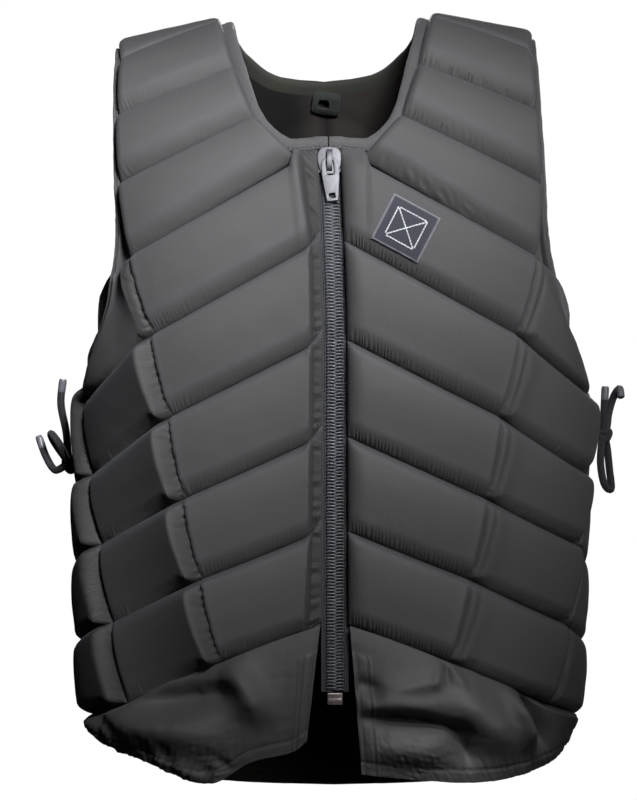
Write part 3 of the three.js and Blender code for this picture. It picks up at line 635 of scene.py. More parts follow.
# height across a block, from its inner end to its outer one, as a share of the full height. Beside
# the zip a slack band of cover may slope up to the foam's end. On the rib and flank columns a strip
# climbs to the block's ridge, or is a soft ridge of its own with a shallow valley before the foam
def acrossBlock(c, fromOuter, v, r, banded, ridge):
    outer = r["outerFoot"] + (1 - r["outerFoot"]) * roundOff(fromOuter + 0.3, r["outer"])
    if banded:
        wide, high = shapes["bandWidth"], shapes["bandHeight"]
        slope = r["innerFoot"] + (high - r["innerFoot"]) * np.clip(c / wide, 0, 1)
        return (slope + (1 - high) * smoothStep(c, wide - 2, wide + shapes["bandRamp"])) * outer
    if not r["strip"]:
        return (r["innerFoot"] + (1 - r["innerFoot"]) * roundOff(c + 0.3, r["inner"])) * outer
    width = stripWidth(v, r)
    convex = 1 - (1 - np.clip(c / width, 0, 1)) ** 2.3
    foam = roundOff(c - 0.9 * width, 0.75 * width) * (c > 0.9 * width)
    soft = 0.8 * bump(c - 0.4 * width, 0.36 * width) + foam
    climb = ridge * soft + (1 - ridge) * convex
    foot = np.maximum(r["stripFoot"] - 0.35 * ridge, 0.3)
    return (foot + (1 - foot) * climb) * outer


# how far each place on a block's rows lies below the straight line, seen from the front, between
# the row's two ends
def belowStraight(points):
    x, z = points[..., 0], points[..., 2]
    share = (x - x[:, :1]) / (x[:, -1:] - x[:, :1])
    return z[:, :1] + (z[:, -1:] - z[:, :1]) * share - z


# places of a block's grid, closer together at its edges. The rows are straightened as seen from the
# front, then the lift moves them up by distance from the inner end and by share of the way down
def padSpots(upper, lower, r, lift):
    ease = lambda t, k: (1 - k) * t + k * (0.5 - 0.5 * np.cos(np.pi * t))
    u, v = np.meshgrid(ease(np.linspace(0, 1, r["columns"]), 0.45), ease(np.linspace(0, 1, r["rows"]), 0.6))
    left = upper[0] + (lower[0] - upper[0]) * v[..., None]
    right = upper[1] + (lower[1] - upper[1]) * v[..., None]
    right[..., 0] -= r["hollow"] * 4 * v * (1 - v)
    spots = left + (right - left) * u[..., None]
    climb = surfaceAt(spots + [0, stationStep]) - surfaceAt(spots - [0, stationStep])
    step = 2 * stationStep
    if r["straight"]:
        share = r["straight"] * (r["straightFrom"] + (1 - r["straightFrom"]) * v)
        # only the rows that are to be quite straight are moved again, to come closer
        for _ in range(3):
            spots[..., 1] += share * belowStraight(surfaceAt(spots)) * step / np.maximum(climb[..., 2], 0.2)
            share = 1.0 * (share == 1)
    if lift is not None:
        spots[..., 1] += lift(along(surfaceAt(spots), 1), v) * step / np.linalg.norm(climb, axis=-1)
    return spots, v


# the cover's small forms: puckers off the zip edge, a sharp drop to the zip or the neck tape, notches
# where it is stitched down along the strip, slanting folds on that, fine gathers where it rolls under,
# and slow unevenness
def coverForms(rise, c, q, fromOuter, fromBottom, upright, r, look, seed, atZip):
    fromGroove = np.minimum(q, fromBottom)
    if atZip:
        lane = wobble(q + cover["puckerSlant"] * c + 40 * seed, cover["puckerPitch"], seed)
        reach = bump(c - cover["puckerAt"], cover["puckerWidth"]) * roundOff(c, 3) * roundOff(fromGroove, 5)
        rise += look["zipPucker"] * reach * lane
    if atZip or r["lip"]:
        radius = shapes["lipRadius"] + shapes["lipMore"] * r["lip"]
        rise -= (rise - 1.2) * (1 - roundOff(c + 0.3, radius))
    tooth = 1.6 * np.sin(2 * np.pi * q / cover["notchPitch"]) + wobble(q, 21, seed) - 0.5
    tooth = np.clip(tooth, 0, 1)
    if r["strip"]:
        rise -= look["notch"] * bump(c, cover["notchWidth"]) * tooth * upright
        reach = roundOff(c, 4) * (1 - smoothStep(c, 0.5 * r["strip"], r["strip"]))
        reach = reach * (0.35 + 0.65 * bump(q - 6, 14))
        lane = wobble(q + cover["foldSlant"] * c + 50 * seed, cover["foldPitch"], seed)
        rise += look["stripFold"] * reach * lane * upright
    elif r["outerFoot"] > 0.4:
        rise -= cover["endNotch"] * look["notch"] * bump(fromOuter, cover["endNotchWidth"]) * tooth * upright
    lane = c + 1.2 * wobble(c, 17, seed)
    reach = bump(fromBottom - cover["gatherAt"], cover["gatherWidth"]) + 0.5 * bump(q - 1.5, 2.5)
    reach = reach * roundOff(fromOuter, 5) * roundOff(c, 12)
    rise += look["gather"] * reach * np.sin(2 * np.pi * lane / cover["gatherPitch"])
    reach = (1 - roundOff(fromGroove, cover["rolledReach"])) * roundOff(q, 3)
    rise += cover["rolled"] * reach * wobble(c + 3 * q, cover["rolledPitch"], seed + 2)
    long, wide = cover["unevenPitches"]
    rise += cover["uneven"] * wobble(c + 2 * q, long, seed) * wobble(q - c, wide, seed + 1) * upright
    return np.maximum(rise, shapes["lowest"])


# one block: quarter rounds up from the grooves, a crown that peaks above the middle, the sag and tilt of its
# face, then the cover's small forms. The marks are its rubbed rim and its painted shade
def padSurface(upper, lower, r, look, seed, lift):
    spots, v = padSpots(upper, lower, r, lift)
    base = surfaceAt(spots)
    c, q = along(base, 1), along(base, 0)
    fromOuter, fromBottom = c[:, -1:] - c, q[-1:] - q
    top = r["top"] + r["corner"] * (1 - smoothStep(c, 12, shapes["neckReach"]))
    width = stripWidth(v, r)
    onStrip = (r["strip"] > 0) * (1 - smoothStep(c, 0.6 * width, 1.8 * width + 1))
    roll = r["bottom"] * (1 - shapes["stripRoll"] * onStrip)
    upright = roundOff(q + r["inset"], top, 2.4) * roundOff(fromBottom + r["inset"], roll, r["soft"])
    banded, ridge = r["band"] * look["band"], look["ridge"]
    across = acrossBlock(c, fromOuter, v, r, banded, ridge)
    rise = r["seam"] + (r["thickness"] - r["seam"]) * upright * across
    face = np.clip((c - width) / (c[:, -1:] - width), 0, 1)
    tilt, sag = 0, r["sag"]
    if r["tilt"]:
        tilt, sag = r["tilt"] + r["lean"] * look["tilt"], sag + look["sag"]
    flat = 4 * sag * face * (1 - face)
    flat += tilt * (2 * face - 1) * smoothStep(c, ridge * width, width + 1 + shapes["ridgeSpread"] * ridge)
    crown = r["crown"] * np.sin(np.pi * v ** shapes["crownPeak"]) * across
    rise += (crown - flat + r["bulge"] * look["bulge"] * across) * upright
    rise = coverForms(rise, c, q, fromOuter, fromBottom, upright, r, look, seed, lift is not None)
    normal = outwardAt(spots)
    rim = bump(q - 0.5 * r["top"], 3) + 0.5 * bump(fromOuter - 4, 3) + 0.3 * bump(fromBottom - r["bottom"], 5)
    wide = shapes["bandWidth"]
    # painted shade: on the band beside the zip, in the groove behind a strip's ridge, over the slack strip,
    # and across the side blocks that turn from the lamp
    shade = banded * roundOff(c, 3) * (1 - smoothStep(c, wide, wide + shapes["bandRamp"]))
    if r["strip"]:
        foam = smoothStep(c, 0.55 * width, width)
        shade = shade + ridge * bump(c - 0.93 * width, 1.1) * roundOff(np.minimum(q, fromBottom), 8)
        shade = shade + r["paintedShade"] * look["paintedShade"] * (1 - foam)
        shade = shade + r["dim"] * look["dim"] * foam * (1 - 0.5 * face)
    outer, inner = base + normal * rise[..., None], base + normal * shapes["under"]
    return outer, inner, np.stack([c, q], -1), rim, shade


# one block, or a column of them that shares a node, as a closed wall on the lining
def buildPad(node, seams, kind, look, seed, lift=None):
    outer, inner, uv, rim, shade = parts = [[], [], [], [], []]
    for k in range(len(seams) - 1):
        # the lower blocks of a column stand out further
        grown = dict(look, bulge=look["bulge"] * min(0.7 + 0.3 * k, 1.1))
        block = list(padSurface(seams[k], seams[k + 1], pads[kind], grown, seed + 0.37 * k, lift))
        block[2] = block[2] + [0, uv[-1][-1, 0, 1] if uv else 0]
        for rows, more in zip(parts, block):
            rows.append(more[1 if k else 0:])
    outer, inner, uv, rim, shade = [np.concatenate(rows) for rows in parts]
    outer, inner = hung(outer, look["side"]), hung(inner, look["side"])
    piece = wallPiece(f"pad_{node}", outer, inner, finishes["shell"], "shell", uv, dict(rim=rim, shade=shade))
    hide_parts(node)
    return outer


# seams of the front beside the zip: the top one fills the corner under the neck, the others
# hook upward on one side
def chestLift(k, look):
    hook = lambda c: look["hook"] * (1 - smoothStep(c, 0, shapes["zipReach"])) ** 1.3
    corner = lambda c: (1.5 + 0.5 * c) * (1 - smoothStep(c, shapes["neckReach"] - 6, shapes["neckReach"]))
    top = corner if k == 0 else hook
    bottom = (lambda c: 0.3 * hook(c)) if k == 4 else hook
    return lambda c, v: (1 - v) * top(c) + v * bottom(c)


# the strap blocks reach out to the neck and arm tapes
def widened(seams, inner, outer):
    side = seams[:, 1] - seams[:, 0]
    return np.stack([seams[:, 0] - side * inner, seams[:, 1] + side * outer], 1)


def buildPads():
    straps, crown = widened(strap, 0.06, 0.045), widened(crest, 0.045, 0.05)
    front = widened(chest, 0.012, 0)
    arm = ribs[:2].copy()
    arm[:, 1, 0] += 1.5
    faces = {}
    for name, look in sideLook.items():
        s = look["seed"]
        buildPad(f"shoulder_{name}", crown, "shoulder", look, s + 0.1)
        for k in range(3):
            kind = "yoke" if k else "topYoke"
            buildPad(f"yoke_{name}_{k + 1}", straps[k:k + 2], kind, look, s + 0.2 + 0.11 * k)
        for k in range(5):
            kind = "chest" if k else "neckChest"
            node = f"chest_{name}_{k + 1}"
            faces[node] = buildPad(node, front[k:k + 2], kind, look, s + 0.5 + 0.13 * k, chestLift(k, look))
            ribPair, kind = (ribs[k:k + 2], "side") if k else (arm, "armSide")
            buildPad(f"side_{name}_{k + 1}", ribPair, kind, look, s + 1.1 + 0.17 * k)
            buildPad(f"back_{name}_{k + 1}", rear[k:k + 2], "back", look, s + 1.9 + 0.19 * k)
        buildPad(f"flank_{name}", flanks, "flank", look, s + 2.7)
    return faces


chestFaces = buildPads()
print("pads")


# edges of the lining panels, a row for each place from the crest down
armEdge = 158.5
frontAngle, backAngle = 97, 107
frontOutline = dict(
    innerX=[82, 82, 71, 58, 35] + [frontEdge] * 7,
    innerHeight=[40, 12, -25, -64, -86, -87, -125, -157, -231, -303, -374, -446],
    outerX=[armEdge] * 5 + [163],
    outerAngle=[65] + [frontAngle] * 5,
    outerHeight=[40, -16, -62, -113, -145, -179, -224, -266, -350, -412, -470, -528],
    neckRows=6, armRows=8, sag=17,
)
backOutline = dict(
    innerX=[82, 77, 50] + [0] * 8,
    innerHeight=[40, 4, -18, -26, -68, -120, -168, -215, -305, -395, -488],
    outerX=[armEdge] * 5 + [160],
    outerAngle=[110] + [backAngle] * 4,
    outerHeight=[40, -28, -64, -98, -130, -158, -200, -266, -365, -440, -528],
    neckRows=4, armRows=8, sag=0,
)
edgeSteps = 8


# smooth through the first rows, straight from place to place below them
def edgeCurve(rows, bend):
    at = np.linspace(0, len(rows) - 1, (len(rows) - 1) * edgeSteps + 1)
    i = np.clip(np.floor(at).astype(int), 0, len(rows) - 2)
    straight = rows[i] + (rows[i + 1] - rows[i]) * (at - i)[:, None]
    bent = catmull(rows[:bend], np.minimum(at, bend - 1))
    return np.where((at <= bend - 1)[:, None], bent, straight)


def panelEdges(o, onBack):
    inner = spotAtX(o["innerHeight"], o["innerX"], onBack)
    n = len(o["outerX"])
    outer = np.concatenate([
        spotAtX(o["outerHeight"][:n], o["outerX"], onBack),
        spotAtAngle(o["outerHeight"][n:], o["outerAngle"]),
    ])
    return edgeCurve(inner, o["neckRows"]), edgeCurve(outer, o["armRows"])


frontEdges = panelEdges(frontOutline, False)
backEdges = panelEdges(backOutline, True)

lining = dict(columns=44, wall=2, quilt=1.6, quiltWidth=5, flatWidth=0.30, flatLength=0.56)


# lining: the panel between its two edges, drawn in along the lines where the blocks are quilted to it
def liningPanel(edges, outline, quiltHeights, quiltFall):
    f = np.linspace(0, 1, lining["columns"])[None, :, None]
    spots = edges[0][:, None] * (1 - f) + edges[1][:, None] * f
    depth = np.linspace(0, len(outline["innerHeight"]) - 1, len(spots))
    foot = smoothStep(depth, depth[-1] - 1, depth[-1])[:, None] * outline["sag"]
    drop = foot * 4 * f[..., 0] * (1 - f[..., 0])
    height = surfaceAt(spots)[..., 2] - drop
    low = drop > 0.01
    spots[low] = spotAtAngle(height[low], spots[low][:, 0])
    base = surfaceAt(spots)
    level = base[..., 2] + quiltFall * np.abs(base[..., 0])
    draw = sum(bump(level - h, lining["quiltWidth"]) for h in quiltHeights)
    puff = lining["quilt"] * (draw - 0.5) * roundOff(np.minimum(f[..., 0], 1 - f[..., 0]) * 60, 8)
    inside = skin(spots, np.minimum(-lining["wall"] + puff, -0.6))
    uv = np.stack([along(base, 1), along(base, 0)], -1)
    return skin(spots, 0 * puff), inside, uv


def buildLinings():
    at, fall = 60, 0.45  # where the front's quilt lines are met, and how they fall outward
    chestLines = [np.interp(at, [frontEdge, x], [a, b]) + fall * at for a, b, x in zip(
        chestSeams["innerHeight"], chestSeams["outerHeight"], chestSeams["outerX"])]
    outer, inner, uv = liningPanel(frontEdges, frontOutline, chestLines, fall)
    for name, side in (("right", -1), ("left", 1)):
        piece = wallPiece(f"lining_front_{name}_cloth", hung(outer, side), hung(inner, side),
                          finishes["shell"], "lining", uv, inside=finishes["lining"])
        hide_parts(f"lining_front_{name}")
    backLines, fall = [-42, -75, -125, -215, -305, -395], 0.3
    outer, inner, uv = liningPanel(backEdges, backOutline, backLines, fall)
    # the two halves are drawn in where they meet at the centre seam
    centre = bump(inner[..., 0], 4)
    inner[..., 1] += centre * 1.3
    shape = joined([slab(hung(outer, side), hung(inner, side)) for side in (-1, 1)])
    flat = np.concatenate([uv.reshape(-1, 2)] * 4)
    # painted shade along the quilting and the centre seam, and a painted shadow down one side of the neck
    level = inner[..., 2] + fall * np.abs(inner[..., 0])
    line = 0.75 * np.maximum(centre, sum(bump(level - h, 4) for h in backLines[1:]))
    neckSide = 0.9 * smoothStep(inner[..., 2], -150, -90) * smoothStep(inner[..., 0], 2, 30)
    shade = np.stack([0 * line, np.clip(line + neckSide, 0, 1), 0 * line, line])
    piece = newPiece("lining_back_cloth", shape, finishes["shell"], "lining", flat, dict(shade=shade),
                     inside=finishes["lining"])
    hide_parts("lining_back")


buildLinings()
print("linings")


# edge tape folded over the lining's edge: width, how proud it stands, and its row of stitching
tape = dict(
    neck=11, arm=6, lap=0.2, backLap=-4, neckEnd=0.6, top=5.9, foot=-2.2, stitchIn=2.8, dent=1.1, pucker=0.4)


# run of points on one side, carried on over the middle to the other side
def bothSides(half):
    return np.concatenate([half, (half * [-1, 1, 1])[-2::-1]])


# tape section: a flattened ring from the pad side over the fold and back inside, with a
# dent along the stitching
def tapeRings(spots, width, side, seed):
    lap = np.where(spots[:, 1] > 0.5, tape["backLap"], tape["lap"])[:, None]
    points = surfaceAt(spots)
    normal = outwardAt(spots)
    forward = unit(np.gradient(points, axis=0))
    out = np.cross(normal, forward) * side
    run = along(points, 0)[:, None]
    a = np.linspace(0, 2 * np.pi, 28, endpoint=False)[None]
    squash = lambda w: np.sign(w) * np.abs(w) ** 0.62
    reach = lap + (width - lap) * (0.5 + 0.5 * squash(np.cos(a)))
    half, middle = (tape["top"] - tape["foot"]) / 2, (tape["top"] + tape["foot"]) / 2
    rise = middle + half * squash(np.sin(a))
    face = np.sin(a) > 0.3
    rise = rise - face * tape["dent"] * bump(reach - tape["stitchIn"], 0.9)
    rise = rise + face * tape["pucker"] * wobble(run + 0.4 * reach, 6, seed)
    reach = reach + 0.25 * wobble(run, 23, seed + 1)
    rings = points[:, None] + out[:, None] * reach[..., None] + normal[:, None] * rise[..., None]
    uv = np.stack([np.broadcast_to(run, reach.shape), reach + 6 * np.sin(a)], -1)
    rim = np.broadcast_to(bump(np.cos(a) - 1, 0.35), reach.shape)
    stitch = points + out * tape["stitchIn"] + normal * (tape["top"] - tape["dent"] * 0.6)
    return rings, uv, rim, stitch, normal


# stitches: short bent bars set along a line at an even pitch
thread = dict(pitch=3.4, length=2.3, radius=0.34)


def stitchRow(line, normal, t=thread):
    run = along(line, 0)
    at = np.arange(t["pitch"], run[-1] - t["pitch"] / 2, t["pitch"])
    put = lambda values: np.stack([np.interp(at, run, values[:, k]) for k in range(3)], 1)
    centre, up = put(line), unit(put(normal))
    ahead = unit(np.stack([np.interp(at, run, g) for g in np.gradient(line, axis=0).T], 1))
    across = np.cross(ahead, up)
    s = np.array([-0.5, -0.3, 0.3, 0.5])  # four rings to a stitch
    thick = np.array([0.45, 1, 1, 0.45])
    a = np.arange(5) * 2 * np.pi / 5
    shift = (s * t["length"])[None, :, None, None] * ahead[:, None, None]
    lift = ((1 - (2 * s) ** 2) * 0.5 * t["radius"])[None, :, None, None] * up[:, None, None]
    ring = np.cos(a)[:, None] * across[:, None, None] + np.sin(a)[:, None] * up[:, None, None]
    points = centre[:, None, None] + shift + lift + ring * (thick * t["radius"])[None, :, None, None]
    count = len(at)
    tube = gridFaces(4, 5, wrapColumns=True)
    caps = np.stack([np.arange(5)[::-1], np.arange(5) + 15])
    shift = (np.arange(count) * 20)[:, None, None]
    return points.reshape(-1, 3), [(tube + shift).reshape(-1, 4), (caps + shift).reshape(-1, 5)]


def buildStitches(name, rows, finish="thread", slot="shell"):
    shape = joined(rows)
    newPiece(name, shape, finishes[finish], slot, shape[0][:, [0, 2]], sharp=80)


def buildBindings():
    n, m = frontOutline["neckRows"], backOutline["neckRows"]
    front = frontEdges[0][:(n - 1) * edgeSteps + 1][::-1]
    level = np.full(6, frontOutline["innerHeight"][n - 1] + 0.5)
    ends = spotAtX(level, np.linspace(tape["neckEnd"], frontEdge - 1.5, 6))
    front = np.concatenate([ends, front])
    behind = overCrest(backEdges[0][1:(m - 1) * edgeSteps + 1])
    rings, uv, rim, stitch, normal = tapeRings(np.concatenate([front, behind]), tape["neck"], 1, 0.4)
    full = bothSides(rings)
    total = uv[-1, 0, 0]
    uv = np.concatenate([uv, ([2 * total, 0] + uv * [-1, 1])[-2::-1]]).reshape(-1, 2)
    rim = np.concatenate([rim, rim[-2::-1]])
    # the stretch of tape behind the neck takes the darker lining finish: painted shade
    shape = loft(hung(full))
    half = len(front) + 3
    fromMiddle = np.abs(np.arange(len(full) - 1) - len(rings) + 1)
    behindNeck = np.repeat(fromMiddle < len(rings) - half, rings.shape[1])
    behindNeck = np.concatenate([behindNeck, [False, False]])
    piece = newPiece("neck_tape", shape, finishes["tape"], "tape", uv, dict(rim=rim),
                     inside=finishes["hemLiningAndNeckShade"], insideFaces=behindNeck)
    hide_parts("neck_binding")
    rows = [stitchRow(hung(bothSides(stitch)), bothSides(normal))]
    k = (frontOutline["armRows"] - 1) * edgeSteps + 1
    spots = np.concatenate([frontEdges[1][:k][::-1], overCrest(backEdges[1][1:k])])
    for name, side in (("right", -1), ("left", 1)):
        rings, uv, rim, stitch, normal = tapeRings(spots, tape["arm"], -1, 2.0 + side)
        piece = newPiece(f"arm_tape_{name}", loft(hung(rings, side)), finishes["tape"], "tape",
                         uv.reshape(-1, 2), dict(rim=rim))
        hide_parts(f"arm_binding_{name}")
        rows.append(stitchRow(hung(stitch, side), normal * [side, 1, 1]))
    buildStitches("binding_stitches", rows, slot="tape")


buildBindings()
print("bindings")


# hems: lower edge and stand-off by place, and the folds that lie across them.
# A fold's x and z are seen from the front; it runs for its length at its turn from level
hems = dict(
    right=dict(
        side=-1, x=[21, 34, 64, 91, 118, 143], angle=[68, 82, 97],
        bottom=[-532, -541, -549, -565, -561, -551, -544, -541, -540],
        puff=[3, 6, 8, 10, 10, 10, 11, 10, 4], ruffle=2.2, ruffleFrom=66,
        folds=[
            dict(x=-112, z=-502, length=42, turn=9, width=10, height=-14),
            dict(x=-82, z=-493, length=14, turn=25, width=9, height=-5),
            dict(x=-124, z=-524, length=46, turn=-7, width=14, height=11),
            dict(x=-64, z=-494, length=28, turn=-58, width=12, height=13),
            dict(x=-112, z=-556, length=30, turn=-22, width=5, height=4),
            dict(x=-84, z=-548, length=14, turn=-40, width=4, height=-3),
            dict(x=-168, z=-520, length=20, turn=-35, width=6, height=-5),
        ],
        crumple=dict(x=-95, z=-552, reach=26),
    ),
    left=dict(
        side=1, x=[20, 42, 74, 100, 124, 146], angle=[66, 82, 97],
        bottom=[-557, -560, -563, -565, -564, -560, -552, -541, -540],
        puff=[5, 9, 10, 9, 10, 10, 6, 3, 2], ruffle=0.8, ruffleFrom=20,
        folds=[
            dict(x=24, z=-490, length=12, turn=-20, width=6, height=-7),
            dict(x=55, z=-489, length=26, turn=11, width=8, height=7),
            dict(x=46, z=-503, length=34, turn=0, width=8, height=8),
            dict(x=58, z=-516, length=42, turn=-8, width=5.5, height=-15, bend=0.1),
            dict(x=52, z=-538, length=34, turn=-4, width=11, height=9),
            dict(x=95, z=-535, length=20, turn=-62, width=7, height=-11),
            dict(x=106, z=-514, length=38, turn=-46, width=14, height=14),
            dict(x=136, z=-518, length=26, turn=-72, width=6, height=11),
            dict(x=147, z=-518, length=26, turn=-70, width=5, height=-18),
            dict(x=166, z=-513, length=18, turn=-50, width=7, height=8),
            dict(x=82, z=-482, length=9, turn=90, width=2.2, height=-5),
            dict(x=74, z=-482, length=10, turn=68, width=3.5, height=4),
            dict(x=89, z=-483, length=11, turn=-60, width=4, height=4),
        ],
        crumple=dict(x=60, z=-540, reach=30),
    ),
)
hemCloth = dict(
    columns=190, rows=72, wall=1.4, topRise=[10, 9, 4, 9], topRiseAt=[0, 75, 110, 165], hemBand=10,
    bandDent=0.9, bandThick=0.6, placket=14, placketFrom=(19, 21), stitchIn=3, dent=1.1, flare=4,
    settleTop=9, settleFoot=14, wrinkle=0.45, crumple=1.7, ruffleOver=40, ruffleReach=(6, 34),
    tuck=2.4, tuckDepth=6, tuckFrom=(120, 150), tuckTo=(172, 184), lowest=-1.0, flat=(0.27, 0.11),
    headHeight=[-441, -444, -472, -507, -525, -531], drop=0.5,  # below the last seam of the blocks
)
tailCut = dict(
    angle=[107, 122, 140, 160, 180], bottom=[-545, -566, -583, -591, -594], puff=[3, 6, 8, 7, 6],
    headAngle=[backAngle, 112, 180], headHeight=[-526, -516, -479], columns=80, rise=4, flat=(0.40, 0.105),
)


# fold height at a place: a Gaussian ridge across, fading out past the fold's ends
def foldsAt(points, folds):
    total = np.zeros(points.shape[:-1])
    for f in folds:
        turn = np.radians(f["turn"])
        dx, dz = points[..., 0] - f["x"], points[..., 2] - f["z"]
        lengthwise = dx * np.cos(turn) + dz * np.sin(turn)
        crosswise = dz * np.cos(turn) - dx * np.sin(turn)
        fade = 1 - smoothStep(np.abs(lengthwise), 0.2 * f["length"], 1.25 * f["length"])
        arc = f.get("bend", 0.04) * lengthwise**2 / f["length"]
        total += f["height"] * fade * bump(crosswise + arc, f["width"])
    return total


def hemSheet(low, puffs, head, h, count):
    at = np.linspace(0, len(low) - 1, count)
    foot = catmull(low, at)
    foot[:, 0] = np.clip(foot[:, 0], low[:, 0].min(), low[:, 0].max())
    puff = np.interp(at, np.arange(len(low)), puffs)[None]
    first, last = foot[0, 0], foot[-1, 0]
    headGirth = last + (foot[:, 0] - last) * (last - h["start"]) / (last - first)
    top = spotAtAngle(head(headGirth), headGirth)
    v = np.linspace(0, 1, hemCloth["rows"])[:, None]
    v = 0.5 * v + 0.5 * (0.5 - 0.5 * np.cos(np.pi * v))
    spots = top[None] + (foot - top)[None] * v[..., None]
    base = surfaceAt(spots)
    q = along(base, 0)
    c = along(base, 1)
    toEdge = q[-1:] - q
    aside = np.abs(base[..., 0])
    topRise = tailCut["rise"]
    if h["folds"]:
        topRise = np.interp(aside, hemCloth["topRiseAt"], hemCloth["topRise"])
    rise = topRise * (1 - v) ** 1.5 + puff * np.sin(np.pi * v**0.8) ** 0.9 + hemCloth["flare"] * v
    seen = base * [h["side"], 1, 1]
    settle = roundOff(q, hemCloth["settleTop"]) * (0.35 + 0.65 * roundOff(toEdge, hemCloth["settleFoot"]))
    fold = foldsAt(seen, h["folds"])
    fold *= roundOff(c, 12) * 0.85 + 0.15
    rise = rise + fold * settle
    # fine crumples round one place
    if h["folds"]:
        spot = h["crumple"]
        near = bump(np.hypot(seen[..., 0] - spot["x"], seen[..., 2] - spot["z"]), spot["reach"])
        rise += hemCloth["crumple"] * near * wobble(c + 0.6 * q, 9, 5) * wobble(q - 0.5 * c, 7, 6) * settle
    wave = wobble(c + 0.2 * q, 19, h["side"]) + 0.6 * wobble(c - 0.5 * q, 7, 3)
    ruffled = smoothStep(aside, h["ruffleFrom"], h["ruffleFrom"] + hemCloth["ruffleOver"])
    rise += h["ruffle"] * ruffled * wave * (1 - smoothStep(toEdge, *hemCloth["ruffleReach"]))
    rise += hemCloth["wrinkle"] * wobble(c + q, 19, 1) * wobble(q - 0.6 * c, 23, 2) * settle
    # stitched band along the lower edge, and a doubled strip down the front edge
    band, strip, inset = hemCloth["hemBand"], hemCloth["placket"], hemCloth["stitchIn"]
    rise -= hemCloth["bandDent"] * bump(toEdge - band, 1.3)
    if h["folds"]:
        stitched = bump(c - inset, 1.2) + bump(c - strip + inset, 1.2)
        doubled = 1 - smoothStep(c, strip - 1, strip + 0.5) - hemCloth["dent"] * stitched
        rise += smoothStep(q, *hemCloth["placketFrom"]) * doubled
        # the head is tucked in to the seam at the sides
        reach = smoothStep(aside, *hemCloth["tuckFrom"]) * (1 - smoothStep(aside, *hemCloth["tuckTo"]))
        rise += (hemCloth["tuck"] - rise) * (1 - smoothStep(q, 0, hemCloth["tuckDepth"])) * reach
    rise = np.maximum(rise, hemCloth["lowest"])
    normal = outwardAt(spots)
    outer = base + normal * rise[..., None]
    wall = hemCloth["wall"] * (1 + hemCloth["bandThick"] * (1 - smoothStep(toEdge, band - 1, band + 1)))
    inner = outer - normal * wall[..., None]
    uv = np.stack([c, q], -1)
    return outer, inner, uv, toEdge, normal


# a line on a sheet at a set distance from its lower edge
def lineAbove(sheet, distance):
    outer, _, _, toEdge, normal = sheet
    pick = np.argmin(np.abs(toEdge - distance), axis=0)
    columns = np.arange(outer.shape[1])
    line = outer[pick, columns]
    kernel = np.ones(5) / 5
    padded = np.concatenate([line[:1]] * 2 + [line] + [line[-1:]] * 2)
    smooth = np.stack([np.convolve(padded[:, k], kernel, "valid") for k in range(3)], 1)
    return smooth + normal[pick, columns] * 0.15, normal[pick, columns]


def buildHems():
    corners = [ribs[-1, 1, 0], chestSeams["edgeAngle"], frontAngle + 4]
    seamGirth = np.concatenate([[0], chest[-1, :, 0], corners])
    seamHeight = np.array(hemCloth["headHeight"]) - hemCloth["drop"]
    rows = []
    for name, h in hems.items():
        h = dict(h, start=chest[-1, 0, 0])
        n = len(h["x"])
        low = np.concatenate([spotAtX(h["bottom"][:n], h["x"]), spotAtAngle(h["bottom"][n:], h["angle"])])
        head = lambda g: np.interp(g, seamGirth, seamHeight)
        sheet = hemSheet(low, h["puff"], head, h, hemCloth["columns"])
        outer, inner, uv = sheet[:3]
        piece = wallPiece(f"hem_{name}_cloth", hung(outer, h["side"]), hung(inner, h["side"]),
                          finishes["hem"], "shell", uv, sharp=75, inside=finishes["hemLiningAndNeckShade"])
        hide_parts(f"hem_{name}")
        flip = [h["side"], 1, 1]
        line, normal = lineAbove(sheet, hemCloth["hemBand"])
        rows.append(stitchRow(hung(line, h["side"]), normal * flip))
        for c in (hemCloth["stitchIn"], hemCloth["placket"] - hemCloth["stitchIn"]):
            column = np.argmin(np.abs(uv[40, :, 0] - c))
            rows.append(stitchRow(hung(outer[16:-3, column], h["side"]), sheet[4][16:-3, column] * flip))
    buildStitches("hem_stitches", rows)

    low = spotAtAngle(tailCut["bottom"], tailCut["angle"])
    head = lambda g: np.interp(g, tailCut["headAngle"], tailCut["headHeight"]) - hemCloth["drop"]
    plain = dict(side=1, folds=[], ruffle=0.8, ruffleFrom=10, start=low[0, 0])
    outer, inner, uv, toEdge, normal = hemSheet(low, tailCut["puff"], head, plain, tailCut["columns"])
    whole = lambda half: np.concatenate([half, half[:, -2::-1] * [-1, 1, 1]], 1)
    flat = np.concatenate([uv, [2 * uv[0, -1, 0], 0] + uv[:, -2::-1] * [-1, 1]], 1)
    piece = wallPiece("tail_cloth", hung(whole(outer)), hung(whole(inner)), finishes["hem"], "shell", flat,
                      sharp=75, inside=finishes["hemLiningAndNeckShade"])
    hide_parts("tail")
    line, turned = lineAbove((outer, inner, uv, toEdge, normal), hemCloth["hemBand"])
    buildStitches("tail_stitches", [stitchRow(hung(bothSides(line)), bothSides(turned))])


buildHems()
print("hems")


# zip: tape, interlocked coils, slider with its pull, and the box at the foot
zipper = dict(
    top=-80, slider=-95, foot=-495, half=10.4, tapeTop=0.2, tapeFoot=-1, coilIn=-0.9, coilOut=6.1,
    coilRise=1.7, coilDepth=1.35, pitch=2.45, wire=0.62, pullAxis=7.3, pullTilt=2.5, pullLean=4,
    rib=0.12, ribPitch=1.2, crossRib=0.05, crossPitch=1.5, curve=0.004,
    stitches=((4.9, 2.95), (7.6, 0.25)),  # from the centre, and above the tape
)
zipThread = dict(pitch=2.45, length=1.9, radius=0.3)


